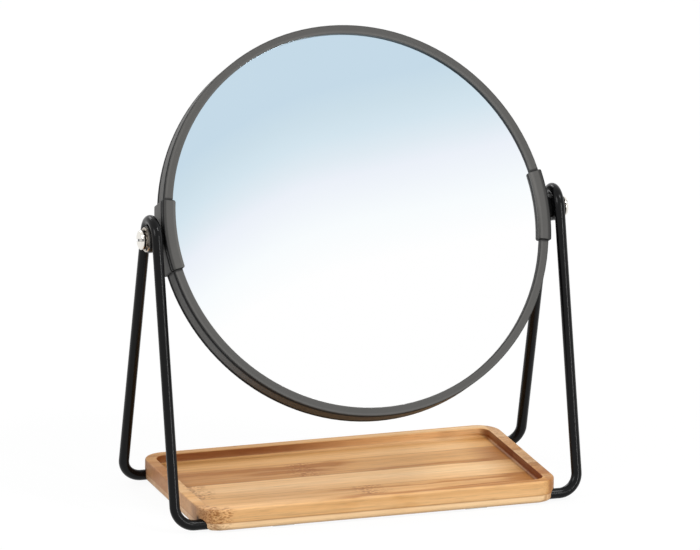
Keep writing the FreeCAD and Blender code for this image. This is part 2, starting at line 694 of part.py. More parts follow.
def add_groove(sketch, middle):
    # A slot with a round top, open below, for one wire run.
    reach = "(Worked.wire_radius + Sizes.groove_play)"
    corners = [
        ("%s - %s" % (middle, reach), "Worked.run_height"),
        ("%s - %s" % (middle, reach), "Worked.tray_bottom - Worked.wire_radius"),
        ("%s + %s" % (middle, reach), "Worked.tray_bottom - Worked.wire_radius"),
        ("%s + %s" % (middle, reach), "Worked.run_height"),
    ]
    rough = [Vector(-1, 1, 0), Vector(-1, -1, 0), Vector(1, -1, 0), Vector(1, 1, 0)]
    first = sketch.GeometryCount
    for start, end in zip(rough, rough[1:]):
        sketch.addGeometry(Part.LineSegment(start, end))
    arc = sketch.addGeometry(
        Part.ArcOfCircle(Part.Circle(Vector(0, 1, 0), AXIS_Z, 1), 0, math.pi))
    joints = [(first, 2, first + 1, 1), (first + 1, 2, first + 2, 1),
              (first + 2, 2, arc, 1), (arc, 2, first, 1)]
    for joint in joints:
        sketch.addConstraint(Sketcher.Constraint("Coincident", *joint))
    ends = [(first, 1), (first, 2), (first + 1, 2), (first + 2, 2)]
    for (line, point), start, (across, along) in zip(ends, rough, corners):
        bind(sketch, "DistanceX", line, point, start.x, across)
        bind(sketch, "DistanceY", line, point, start.y, along)
    bind(sketch, "DistanceY", arc, 3, 1, "Worked.run_height")


grooves = new_sketch(bamboo_tray, "YZ_Plane", "groove_section")
add_groove(grooves, "-Worked.half_spread")
add_groove(grooves, "Worked.half_spread")
pocket(bamboo_tray, grooves, "wire_grooves", both_ways=True)

corner_signs = [(sign_x, sign_y) for sign_y in ("-", "+") for sign_x in ("-", "+")]


def signed_span(sign, low, high):
    # The two bounds of a span on the given side of the middle, in rising order.
    if sign == "+":
        return low, high
    return "-(%s)" % high, "-(%s)" % low


pad_seats = new_sketch(bamboo_tray, "XY_Plane", "pad_seats", "Worked.tray_bottom")
for sign_x, sign_y in corner_signs:
    add_circle(pad_seats, sign_x + "(Worked.tray_half_length - Sizes.pad_inset)",
               "Sizes.tray_offset %s Sizes.pad_offset" % sign_y,
               "Sizes.pad_diameter / 2 + Sizes.pad_play")
pocket(bamboo_tray, pad_seats, "pad_seats_cut", "Sizes.pad_recess", upwards=True)


def drill_countersunk(body, name, centres, start, rim, depth):
    # Countersunk holes that run up from the given height.
    before = body.Shape.Volume
    sketch = new_sketch(body, "XY_Plane", name + "_centres", start)
    for across, along in centres:
        add_circle(sketch, across, along, "Sizes.strap_screw / 2")
    doc.recompute()
    hole = body.newObject("PartDesign::Hole", name)
    hole.Profile = sketch
    doc.recompute()
    hole.Reversed = True
    hole.setExpression("Diameter", "Sizes.strap_screw")
    hole.DepthType = "Dimension"
    hole.setExpression("Depth", depth)
    hole.DrillPoint = "Flat"
    hole.HoleCutType = "Countersink"
    hole.HoleCutCustomValues = True
    hole.setExpression("HoleCutDiameter", rim)
    hole.HoleCutCountersinkAngle = 90
    doc.recompute()
    if body.Shape.Volume >= before:
        raise RuntimeError("%s of %s cuts nothing" % (name, body.Label))


screw_centres = [
    (sign_x + "Sizes.strap_station", sign_y + "Worked.strap_screw_line")
    for sign_x, sign_y in corner_signs
]
drill_countersunk(
    bamboo_tray, "strap_screw_holes", screw_centres, "Worked.tray_bottom",
    "Sizes.strap_head - 2 * Sizes.strap_thickness",
    "Sizes.strap_screw_length - Sizes.strap_thickness")

# ---------------------------------------------------------------- straps, screws and pads


def make_strap(name, sign_x, sign_y):
    # A flat steel strap across the groove, screwed to the underside.
    body = new_body(name)
    left, right = signed_span(sign_x, "Sizes.strap_station - Sizes.strap_width / 2",
                              "Sizes.strap_station + Sizes.strap_width / 2")
    low, high = signed_span(sign_y, "Worked.strap_inside", "Worked.strap_outside")
    sketch = new_sketch(body, "XY_Plane", name + "_outline", "Worked.strap_bottom")
    add_outline(sketch, rectangle(left, right, low, high))
    pad(body, sketch, name + "_plate", "Sizes.strap_thickness")
    drill_countersunk(
        body, name + "_hole",
        [(sign_x + "Sizes.strap_station", sign_y + "Worked.strap_screw_line")],
        "Worked.strap_bottom", "Sizes.strap_head", "Sizes.strap_screw_length")


strap_names = {"-": {"-": "front_left_strap", "+": "front_right_strap"},
               "+": {"-": "back_left_strap", "+": "back_right_strap"}}
for sign_x, sign_y in corner_signs:
    make_strap(strap_names[sign_y][sign_x], sign_x, sign_y)

# The four countersunk screws are one node.  Each is a cone on a shank.
strap_screws = new_body("strap_screws")
head_rims = new_sketch(strap_screws, "XY_Plane", "screw_heads", "Worked.strap_bottom")
shanks = new_sketch(strap_screws, "XY_Plane", "screw_shanks", "Worked.strap_bottom")
for across, along in screw_centres:
    add_circle(head_rims, across, along, "Sizes.strap_head / 2")
    add_circle(shanks, across, along, "Sizes.strap_screw / 2")
heads = pad(strap_screws, head_rims, "screw_heads_pad",
            "(Sizes.strap_head - Sizes.strap_screw) / 2")
heads.TaperAngle = -45
pad(strap_screws, shanks, "screw_shanks_pad", "Sizes.strap_screw_length")

foot_pads = new_body("foot_pads")
pad_faces = new_sketch(foot_pads, "XY_Plane", "pad_faces")
for sign_x, sign_y in corner_signs:
    add_circle(pad_faces, sign_x + "(Worked.tray_half_length - Sizes.pad_inset)",
               "Sizes.tray_offset %s Sizes.pad_offset" % sign_y, "Sizes.pad_diameter / 2")
pad(foot_pads, pad_faces, "pads", "Sizes.pad_thickness")

# ---------------------------------------------------------------- check and write

doc.recompute()
for item in doc.Objects:
    if "Invalid" in item.State or "Error" in item.State:
        raise RuntimeError("%s did not build: %s" % (item.Label, item.State))
for node in nodes:
    if node.Shape.isNull() or not node.Shape.isValid() or not node.Shape.Solids:
        raise RuntimeError("%s has no valid solid" % node.Label)

os.makedirs("parts", exist_ok=True)
for node in nodes:
    node.Shape.exportStep("parts/%s.step" % node.Label)
    box = node.Shape.BoundBox
    print("%-22s %d solid(s) %9.1f mm3  X %7.2f..%7.2f  Y %7.2f..%7.2f  Z %7.2f..%7.2f" % (
        node.Label, len(node.Shape.Solids), node.Shape.Volume,
        box.XMin, box.XMax, box.YMin, box.YMax, box.ZMin, box.ZMax))
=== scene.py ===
import json
import math

import bmesh
import bpy
from mathutils import Matrix, Vector


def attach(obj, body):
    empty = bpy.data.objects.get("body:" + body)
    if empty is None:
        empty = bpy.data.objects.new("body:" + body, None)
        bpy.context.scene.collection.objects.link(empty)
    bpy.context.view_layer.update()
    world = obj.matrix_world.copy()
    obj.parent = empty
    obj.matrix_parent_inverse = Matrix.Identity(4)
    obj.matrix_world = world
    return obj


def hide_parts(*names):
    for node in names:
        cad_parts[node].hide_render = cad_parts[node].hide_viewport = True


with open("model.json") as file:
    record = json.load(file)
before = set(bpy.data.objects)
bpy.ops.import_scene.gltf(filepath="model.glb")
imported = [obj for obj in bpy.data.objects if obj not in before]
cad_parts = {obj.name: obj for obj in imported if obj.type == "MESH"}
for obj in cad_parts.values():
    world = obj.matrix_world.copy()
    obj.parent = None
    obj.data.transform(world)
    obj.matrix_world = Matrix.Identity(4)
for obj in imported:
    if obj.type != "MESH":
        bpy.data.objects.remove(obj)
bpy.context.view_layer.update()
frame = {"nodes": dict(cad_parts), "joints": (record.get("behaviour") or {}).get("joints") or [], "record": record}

cadNodes = frame["nodes"]
sides = {"left": -1, "right": 1}
mm = 0.001

print("frame loaded:", len(cadNodes), "nodes")


# small helpers for node trees

def paint(red, green, blue):
    # a colour as seen on screen, made linear
    def straight(value):
        value = value / 255
        return value / 12.92 if value <= 0.04045 else ((value + 0.055) / 1.055) ** 2.4
    return (straight(red), straight(green), straight(blue), 1.0)


def addNode(tree, kind, inputs=None, **settings):
    node = tree.nodes.new(kind)
    for name, value in settings.items():
        setattr(node, name, value)
    for name, value in (inputs or {}).items():
        if isinstance(value, bpy.types.NodeSocket):
            tree.links.new(value, node.inputs[name])
        else:
            node.inputs[name].default_value = value
    return node


def calc(tree, operation, first, second=0.0, third=0.0, clamp=False):
    return addNode(tree, "ShaderNodeMath", {0: first, 1: second, 2: third},
                   operation=operation, use_clamp=clamp).outputs[0]


def smoothStep(tree, value, low, high):
    node = addNode(tree, "ShaderNodeMapRange",
                   {"Value": value, "From Min": low, "From Max": high},
                   interpolation_type="SMOOTHSTEP")
    return node.outputs["Result"]


def mixColour(tree, factor, under, over, mode="MIX"):
    node = addNode(tree, "ShaderNodeMix", data_type="RGBA", blend_type=mode)
    for index, value in ((0, factor), (6, under), (7, over)):
        if isinstance(value, bpy.types.NodeSocket):
            tree.links.new(value, node.inputs[index])
        else:
            node.inputs[index].default_value = value
    return node.outputs[2]


def ramp(tree, value, stops, step="LINEAR"):
    node = addNode(tree, "ShaderNodeValToRGB", {"Fac": value})
    node.color_ramp.interpolation = step
    elements = node.color_ramp.elements
    while len(elements) < len(stops):
        elements.new(1.0)
    for element, (place, colour) in zip(elements, stops):
        element.position = place
        element.color = colour
    return node.outputs["Color"]


def grey(value):
    return (value, value, value, 1.0)


def noise(tree, vector, scale, detail=2.0, roughness=0.5):
    node = addNode(tree, "ShaderNodeTexNoise",
                   {"Vector": vector, "Scale": scale, "Detail": detail, "Roughness": roughness})
    return node.outputs["Fac"]


def millimetres(tree, stretch=(1, 1, 1)):
    # object coordinates in millimetres, stretched
    place = addNode(tree, "ShaderNodeTexCoord").outputs["Object"]
    mapping = addNode(tree, "ShaderNodeMapping", {
        "Vector": place, "Scale": [value / mm for value in stretch]})
    return mapping.outputs["Vector"]


def splitVector(tree, vector):
    return addNode(tree, "ShaderNodeSeparateXYZ", {"Vector": vector}).outputs[:]


def joinVector(tree, x=0.0, y=0.0, z=0.0):
    return addNode(tree, "ShaderNodeCombineXYZ", {"X": x, "Y": y, "Z": z}).outputs[0]


def inverse(tree, value):
    return calc(tree, "SUBTRACT", 1.0, value)


def opposite(tree, value):
    return calc(tree, "MULTIPLY", value, -1.0)


def band(tree, value, centre, half, soft):
    # 1 within half of the centre, fading to 0 over the next soft
    away = calc(tree, "ABSOLUTE", calc(tree, "SUBTRACT", value, centre))
    return inverse(tree, smoothStep(tree, away, half, half + soft))


def strongest(tree, *masks):
    result = masks[0]
    for mask in masks[1:]:
        result = calc(tree, "MAXIMUM", result, mask)
    return result


def product(tree, *masks):
    result = masks[0]
    for mask in masks[1:]:
        result = calc(tree, "MULTIPLY", result, mask)
    return result


def newMaterial(name):
    material = bpy.data.materials.new(name)
    material.use_nodes = True
    tree = material.node_tree
    tree.nodes.clear()
    surface = tree.nodes.new("ShaderNodeBsdfPrincipled")
    output = tree.nodes.new("ShaderNodeOutputMaterial")
    tree.links.new(surface.outputs["BSDF"], output.inputs["Surface"])
    return material, tree, surface


def bump(tree, surface, height, strength, distance):
    node = addNode(tree, "ShaderNodeBump",
                   {"Height": height, "Strength": strength, "Distance": distance})
    tree.links.new(node.outputs["Normal"], surface.inputs["Normal"])


# effects that several finishes share

mirrorStance = {"Pivot Height": frame["joints"][0]["pos_m"][2] / mm, "Lean": 28.5}


def newGroup(name, inputs, outputs):
    # every group takes a vector and otherwise plain values
    group = bpy.data.node_groups.new(name, "ShaderNodeTree")
    kinds = {"Vector": "NodeSocketVector"}
    for direction, names in (("INPUT", ["Vector"] + inputs), ("OUTPUT", outputs)):
        for socketName in names:
            group.interface.new_socket(name=socketName, in_out=direction,
                                       socket_type=kinds.get(socketName, "NodeSocketFloat"))
    return group, group.nodes.new("NodeGroupInput"), group.nodes.new("NodeGroupOutput")


# scales per millimetre, and how much each noise counts
patchScale = 0.06
smudges = {"broadScale": 0.035, "broadShare": 1.4, "fineScale": 0.6, "fineShare": 0.6}


def makePebbleGroup():
    # the fine pebble that moulds and powder paint leave: a height and a slight mottle
    group, given, result = newGroup("finePebble", ["Size", "Mottle"], ["Height", "Tone"])
    vector = given.outputs["Vector"]
    density = calc(group, "DIVIDE", 1.0, given.outputs["Size"])
    cells = addNode(group, "ShaderNodeTexVoronoi", {"Vector": vector, "Scale": density},
                    feature="SMOOTH_F1")
    grain = noise(group, vector, density, detail=3.0, roughness=0.6)
    height = calc(group, "ADD", cells.outputs["Distance"], grain)
    patches = noise(group, vector, patchScale, detail=4.0, roughness=0.6)
    speckle = calc(group, "MULTIPLY", calc(group, "ADD", patches, grain), 0.5)
    swing = calc(group, "MULTIPLY", calc(group, "SUBTRACT", speckle, 0.5), given.outputs["Mottle"])
    tone = calc(group, "ADD", swing, 1.0)
    group.links.new(height, result.inputs["Height"])
    group.links.new(tone, result.inputs["Tone"])
    return group


def makeHandlingGroup():
    # smudges and faint rub marks that change the gloss
    group, given, result = newGroup("handling", ["Gloss", "Smudge"], ["Roughness"])
    vector = given.outputs["Vector"]
    broad = noise(group, vector, smudges["broadScale"], detail=3.0, roughness=0.55)
    fine = noise(group, vector, smudges["fineScale"], detail=4.0, roughness=0.7)
    mixed = calc(group, "ADD", calc(group, "MULTIPLY", broad, smudges["broadShare"]),
                 calc(group, "MULTIPLY", fine, smudges["fineShare"]))
    swing = calc(group, "MULTIPLY", calc(group, "SUBTRACT", mixed, 1.0), given.outputs["Smudge"])
    group.links.new(calc(group, "ADD", swing, given.outputs["Gloss"], clamp=True),
                    result.inputs["Roughness"])
    return group


def makeMirrorPlaceGroup():
    # place on the leaning mirror, in millimetres: off its axis, along it and up its face
    group, given, result = newGroup(
        "mirrorPlace", list(mirrorStance), ["Across", "Depth", "Up Face", "Radius", "Turn"])
    parts = addNode(group, "ShaderNodeSeparateXYZ", {"Vector": given.outputs["Vector"]}).outputs
    lean = calc(group, "RADIANS", given.outputs["Lean"])
    sine = calc(group, "SINE", lean)
    cosine = calc(group, "COSINE", lean)
    raised = calc(group, "SUBTRACT", parts["Z"], given.outputs["Pivot Height"])
    upFace = calc(group, "ADD", calc(group, "MULTIPLY", raised, cosine),
                  calc(group, "MULTIPLY", parts["Y"], sine))
    depth = calc(group, "SUBTRACT", calc(group, "MULTIPLY", parts["Y"], cosine),
                 calc(group, "MULTIPLY", raised, sine))
    radius = calc(group, "SQRT", calc(group, "ADD", calc(group, "POWER", parts["X"], 2.0),
                                      calc(group, "POWER", upFace, 2.0)))
    turn = calc(group, "DEGREES", calc(group, "ARCTAN2", calc(group, "ABSOLUTE", upFace),
                                       calc(group, "ABSOLUTE", parts["X"])))
    for name, value in (("Across", parts["X"]), ("Depth", depth), ("Up Face", upFace),
                        ("Radius", radius), ("Turn", turn)):
        group.links.new(value, result.inputs[name])
    return group


pebbleGroup = makePebbleGroup()
handlingGroup = makeHandlingGroup()
mirrorPlaceGroup = makeMirrorPlaceGroup()


def usePebble(tree, vector, size, mottle):
    node = addNode(tree, "ShaderNodeGroup", node_tree=pebbleGroup)
    tree.links.new(vector, node.inputs["Vector"])
    node.inputs["Size"].default_value = size
    node.inputs["Mottle"].default_value = mottle
    return node.outputs["Height"], node.outputs["Tone"]


def useHandling(tree, surface, vector, gloss, smudge):
    node = addNode(tree, "ShaderNodeGroup", node_tree=handlingGroup)
    tree.links.new(vector, node.inputs["Vector"])
    node.inputs["Gloss"].default_value = gloss
    node.inputs["Smudge"].default_value = smudge
    tree.links.new(node.outputs["Roughness"], surface.inputs["Roughness"])


def useMirrorPlace(tree, vector):
    node = addNode(tree, "ShaderNodeGroup", node_tree=mirrorPlaceGroup)
    tree.links.new(vector, node.inputs["Vector"])
    for name, value in mirrorStance.items():
        node.inputs[name].default_value = value
    return node.outputs


def tinted(tree, colour, tone):
    shade = addNode(tree, "ShaderNodeCombineColor", {"Red": tone, "Green": tone, "Blue": tone})
    return mixColour(tree, 1.0, colour, shade.outputs["Color"], "MULTIPLY")


# finishes
# In the tables of marks and masks a pair is the range over which a mask rises or falls, and
# three numbers are the middle, half width and soft edge of a band.

coated = {
    # pebble and depth in millimetres
    "wirePaint": {"colour": (8, 8, 9), "pebble": 0.5, "depth": 0.005, "mottle": 0.3,
                  "gloss": 0.22, "smudge": 0.05, "specular": 0.16},
    "blackNylon": {"colour": (14, 14, 15), "pebble": 0.25, "depth": 0.01, "mottle": 0.2,
                   "gloss": 0.5, "smudge": 0.1, "specular": 0.2},
    "softPad": {"colour": (44, 43, 42), "pebble": 0.18, "depth": 0.05, "mottle": 0.35,
                "gloss": 0.85, "smudge": 0.1, "specular": 0.2},
}


def makeCoated(name, colour, pebble, depth, mottle, gloss, smudge, specular):
    material, tree, surface = newMaterial(name)
    vector = millimetres(tree)
    height, tone = usePebble(tree, vector, pebble, mottle)
    tree.links.new(tinted(tree, paint(*colour), tone), surface.inputs["Base Color"])
    surface.inputs["Specular IOR Level"].default_value = specular
    useHandling(tree, surface, vector, gloss, smudge)
    bump(tree, surface, height, 1.0, depth * mm)
    return material


# charcoal plastic, in millimetres and degrees; painted shade where shadow gathers, and painted
# highlights over a half width and a soft edge
moulded = {
    "colour": (83, 82, 80), "paintedShade": (10, 10, 10), "pebble": 0.32, "depth": 0.02,
    "mottle": 0.3, "gloss": 0.5, "smudge": 0.14, "specular": 0.2, "sideShade": -0.0003,
    "topRight": (-70.0, 70.0), "wallSoft": 0.5, "wallLift": 0.3,
    "outerHighlight": (0.3, 0.4), "innerHighlight": (0.25, 0.4), "highlightLift": 0.24,
}
wallFoot = {"soft": 0.6, "low": (-10.0, 30.0), "lowAmount": 0.8, "right": (10.0, 60.0)}
ringMarks = {
    "shade": 0.9, "wallRadius": 85.15, "outerEdge": 88.25, "footDepth": 5.3,
    "outside": (87.6, 88.2), "seam": (4.5, 1.35, 0.5), "face": (5.5, 6.1),
    "rim": (88.2, 88.75), "rimAmount": 0.6, "gap": (10.45, 0.3, 0.5), "gapAmount": 0.8,
    "low": (62.0, 86.0), "lowAmount": 0.72,
}
claspMarks = {
    "shade": 0.95, "wallRadius": 84.8, "outerEdge": 89.0, "footDepth": 5.4,
    "outside": (87.9, 88.7), "seam": (-5.3, 1.3, 1.0), "rim": (88.9, 89.5),
    "corner": (-7.0, 0.2, 0.5), "ends": (10.05, 10.4),
}


def wallFootGloom(tree, place, onWall, footDepth):
    # painted shade on the right inner wall, where it meets the glass and along its lower part
    look = wallFoot
    foot = inverse(tree, smoothStep(tree, calc(tree, "ABSOLUTE", place["Depth"]),
                                    footDepth, footDepth + look["soft"]))
    down = opposite(tree, place["Up Face"])
    lowRight = product(tree, smoothStep(tree, down, *look["low"]), look["lowAmount"])
    return product(tree, onWall, strongest(tree, foot, lowRight),
                   smoothStep(tree, place["Across"], *look["right"]))


def towardsTopRight(tree, place):
    # 0 at the lower left of the ring, 1 at its upper right
    both = calc(tree, "ADD", place["Across"], place["Up Face"])
    return smoothStep(tree, both, *moulded["topRight"])


def ringGloom(tree, place, onWall):
    # painted shade on the edges of the ring, the seam behind each bezel, the gap at each clasp and the underside
    look = ringMarks
    behind = calc(tree, "ABSOLUTE", place["Depth"])
    outside = smoothStep(tree, place["Radius"], *look["outside"])
    seam = product(tree, outside, band(tree, behind, *look["seam"]))
    onFace = smoothStep(tree, behind, *look["face"])
    rim = product(tree, onFace, smoothStep(tree, place["Radius"], *look["rim"]),
                  towardsTopRight(tree, place), look["rimAmount"])
    gap = product(tree, band(tree, place["Turn"], *look["gap"]), look["gapAmount"])
    low = smoothStep(tree, opposite(tree, place["Up Face"]), *look["low"])
    below = product(tree, low, outside, inverse(tree, onFace), look["lowAmount"])
    foot = wallFootGloom(tree, place, onWall, look["footDepth"])
    return strongest(tree, seam, foot, rim, gap, below)


def claspGloom(tree, place, onWall):
    # painted shade on the seam between clasp and cover, the ends and the outer corner of the cover
    look = claspMarks
    outside = smoothStep(tree, place["Radius"], *look["outside"])
    seam = product(tree, outside, band(tree, place["Depth"], *look["seam"]))
    corner = product(tree, smoothStep(tree, place["Radius"], *look["rim"]),
                     band(tree, place["Depth"], *look["corner"]))
    ends = smoothStep(tree, place["Turn"], *look["ends"])
    return strongest(tree, seam, corner, ends,
                     wallFootGloom(tree, place, onWall, look["footDepth"]))


def makeMoulded(name, shadeOf, marks):
    material, tree, surface = newMaterial(name)
    look = moulded
    vector = millimetres(tree)
    place = useMirrorPlace(tree, vector)
    radius = place["Radius"]
    height, tone = usePebble(tree, vector, look["pebble"], look["mottle"])
    wallEnd = marks["wallRadius"] + look["wallSoft"]
    onWall = inverse(tree, smoothStep(tree, radius, marks["wallRadius"], wallEnd))
    # painted shade: the plastic darker towards the right
    sideShade = calc(tree, "MULTIPLY_ADD", place["Across"], look["sideShade"], marks["shade"])
    # painted light: the inner wall lighter
    lift = calc(tree, "MULTIPLY_ADD", onWall, look["wallLift"], 1.0)
    # painted highlights: the outer edge lighter at the lower left, the inner one at the upper right
    turned = towardsTopRight(tree, place)
    outerHighlight = band(tree, radius, marks["outerEdge"], *look["outerHighlight"])
    innerHighlight = band(tree, radius, wallEnd, *look["innerHighlight"])
    highlighted = strongest(tree, product(tree, outerHighlight, inverse(tree, turned)),
                     product(tree, innerHighlight, turned))
    paintedHighlight = calc(tree, "MULTIPLY_ADD", highlighted, look["highlightLift"], 1.0)
    colour = tinted(tree, paint(*look["colour"]), product(tree, tone, sideShade, lift, paintedHighlight))
    colour = mixColour(tree, shadeOf(tree, place, onWall), colour, paint(*look["paintedShade"]))
    tree.links.new(colour, surface.inputs["Base Color"])
    surface.inputs["Specular IOR Level"].default_value = look["specular"]
    useHandling(tree, surface, vector, look["gloss"], look["smudge"])
    bump(tree, surface, height, 1.0, look["depth"] * mm)
    return material


plated = {
    "brightNickel": {"colour": (232, 228, 220), "gloss": 0.16, "smudge": 0.14, "scratch": 0.6},
    "zincPlate": {"colour": (196, 198, 196), "gloss": 0.38, "smudge": 0.2, "scratch": 1.0},
    "dullNickel": {"colour": (188, 181, 171), "gloss": 0.34, "smudge": 0.2, "scratch": 1.0},
}
brushing = {"stretch": (0.4, 6, 6), "contrast": 0.16, "lowest": 0.92, "depth": 0.01}
pivotHead = {
    # outward numbers are measured from the middle of the mirror
    "slotTurn": -13.0, "slot": (0.0, 0.56, 0.08), "slotFloor": (98.8, 98.9),
    "slotEnds": (1.4, 2.8), "endShade": 0.6, "middleShade": 0.4, "under": (98.4, 98.9),
    "shadeTint": (26, 23, 20),
}


def pivotGrime(tree, vector):
    # painted shade in the slot of each pivot screw and below its head
    look = pivotHead
    place = useMirrorPlace(tree, vector)
    outward = calc(tree, "ABSOLUTE", place["Across"])
    sideOf = calc(tree, "SIGN", place["Across"])
    slope = math.radians(look["slotTurn"])

    def turned(upShare, depthShare):
        return calc(tree, "ADD", calc(tree, "MULTIPLY", place["Up Face"], upShare),
                    product(tree, place["Depth"], sideOf, depthShare))

    acrossSlot = turned(math.cos(slope), -math.sin(slope))
    alongSlot = turned(-math.sin(slope), -math.cos(slope))
    nearEnds = smoothStep(tree, calc(tree, "ABSOLUTE", alongSlot), *look["slotEnds"])
    slot = product(
        tree, band(tree, acrossSlot, *look["slot"]),
        smoothStep(tree, outward, *look["slotFloor"]),
        calc(tree, "MULTIPLY_ADD", nearEnds, look["endShade"], look["middleShade"]))
    under = inverse(tree, smoothStep(tree, outward, *look["under"]))
    return strongest(tree, slot, under)


def makePlated(name, colour, gloss, smudge, scratch):
    material, tree, surface = newMaterial(name)
    vector = millimetres(tree)
    brushed = noise(tree, millimetres(tree, stretch=brushing["stretch"]), 1.0,
                    detail=3.0, roughness=0.6)
    tone = calc(tree, "ADD", calc(tree, "MULTIPLY", brushed, brushing["contrast"]),
                brushing["lowest"])
    shaded = tinted(tree, paint(*colour), tone)
    if name == "brightNickel":
        # painted shade in the slot and under the head of the pivot screws
        shaded = mixColour(tree, pivotGrime(tree, vector), shaded, paint(*pivotHead["shadeTint"]))
    tree.links.new(shaded, surface.inputs["Base Color"])
    surface.inputs["Metallic"].default_value = 1.0
    useHandling(tree, surface, vector, gloss, smudge)
    bump(tree, surface, brushed, scratch, brushing["depth"] * mm)
    return material


bambooSizes = {
    "stripWidth": 20.0, "stripStart": -35.0,      # strips run along X, edge to edge in Y
    "plyJoint": 4.5,                               # height of the joint between the two plies
    "lowerPlyShift": 8.5, "middle": 1.2, "wander": 1.2,
    "wellLength": 78.65, "wellDepth": 40.35, "wellFloor": 6.7, "wellMargin": 0.3,
    "creaseHeight": 1.5, "knuckleSpan": 200.0, "ripple": 14.0, "raggedness": 9.0,
    "streakStart": (-8, 16), "streakEnd": (-16, 8), "streakCore": 0.4, "relief": 0.06,
}
firstStrip = -1         # number of the front strip
# tone of each strip, the painted shade that deepens it to the left, and where its knuckle lies, front to back
stripTones = (0.4, 0.58, 0.22, 0.74, 0.48, 0.5)
stripSideShade = (0.5, 0.44, 0.58, 0.68, 0.74, 0.6)
stripKnuckles = (0.12, 0.51, 0.135, 0.415, 1.0, 0.3)
heartStreaks = (
    # where dark growth shows: across, half width, from, to, strength
    (-29.0, 3.2, -14.0, 90.0, 0.6), (20.5, 2.4, -90.0, 6.0, 0.5), (7.0, 1.6, 8.0, 90.0, 0.22),
    (14.0, 2.2, -44.0, -2.0, 0.45), (-19.0, 1.0, -20.0, 90.0, 0.3),
    (-41.0, 2.6, -24.0, 90.0, 0.5),
)
# how closely each pattern lies along X, Y and Z; one number alone is along X, and the middle
# one of drift is per strip
bambooStretch = {
    "wander": (0.012, 0, 0), "ragged": (0.03, 0.1, 0.1), "speck": (0.6, 1.5, 1.5),
    "dot": (0.5, 1, 1), "patch": (0.05, 0.05, 0.5), "drift": (0.013, 3.7, 0.02),
    "fibre": 0.016, "fineFibre": 0.05,
}
# steps that give each ply and each strip a pattern of its own
plyKey = 7.3
fibreKey = 31.0
bambooScale = {
    "streak": 0.62, "broadStreak": 0.2, "fineStreak": 2.0, "bundle": 1.35, "ripple": 0.13,
    "speckSize": 0.6, "dot": 1.15,
}
bambooMasks = {
    "glue": (0.08, 0.48), "bundle": (0.12, 0.4), "endGrain": (0.35, 0.9),
    "beside": (58.0, 78.0), "knuckle": (2.0, 10.0), "speck": (0.7, 1.3), "dot": (0.22, 0.5),
    "cornerTurn": (0.5, 0.34, 0.2), "cornerLeft": (-72.0, -60.0), "cornerFront": (-34.0, -28.0),
    "toBack": (18.0, 46.0), "rightRim": (78.2, 79.6), "groove": (38.9, 2.2, 1.4),
    "boardEnd": (82.6, 83.4), "overHole": (5.8, 7.6), "level": (0.3, 0.9),
    "facing": (0.15, 0.95), "leftward": (-30.0, 45.0), "wallBack": (0.0, 36.0),
    "crease": (76.6, 78.0),
}
# how much each effect adds to the tone of the wood, where a higher tone is darker; sideShade and beside add
# painted shade
bambooTone = {"drift": 0.3, "sideShade": -0.016, "lower": -0.3, "broadStreak": 0.9, "beside": 0.5}
# factor and base that turn a mask or a noise into an amount
bambooSpan = {
    "speckSize": (1.1, -0.1), "cornerDots": (0.45, 0.2), "bundle": (0.5, 0.1),
    "rimDots": (0.3, 0.4), "wallShadeEnds": (-0.16, 0.95), "wallShadeSides": (0.68, 0.12),
    "patch": (0.5, 0.75),
}
bambooRamps = {
    "wood": [(0.0, paint(240, 199, 147)), (0.3, paint(230, 182, 126)),
             (0.6, paint(213, 160, 99)), (1.0, paint(171, 110, 46))],
    "streak": [(0.28, grey(0.62)), (0.47, grey(0.96)), (0.7, grey(1.12))],
    "fineStreak": [(0.3, grey(0.8)), (0.46, grey(1.0)), (0.7, grey(1.07))],
}
# colours laid over the wood, one after the other, each with its strength; toBack, hole, crease and wall are
# painted shade
bambooLayers = {
    "bundle": (1.0, (140, 90, 50)), "knuckle": (0.68, (138, 74, 12)),
    "lower": (0.4, (247, 215, 172)), "glue": (0.5, (150, 98, 52)),
    "endGrain": (0.5, (182, 136, 106)), "corner": (1.0, (118, 68, 28)),
    "toBack": (0.45, (96, 56, 34)), "rightRim": (1.0, (150, 98, 60)),
    "hole": (0.85, (38, 22, 12)), "crease": (0.55, (124, 66, 26)), "wall": (1.0, (114, 50, 2)),
}
bambooSurface = {
    "streakMix": 0.55, "fineStreakMix": 0.8, "darkestWall": 0.96, "specular": 0.25, "gloss": 0.5,
    "smudge": 0.16, "streakRelief": 0.6, "markRelief": -0.35, "bump": 0.6,
}


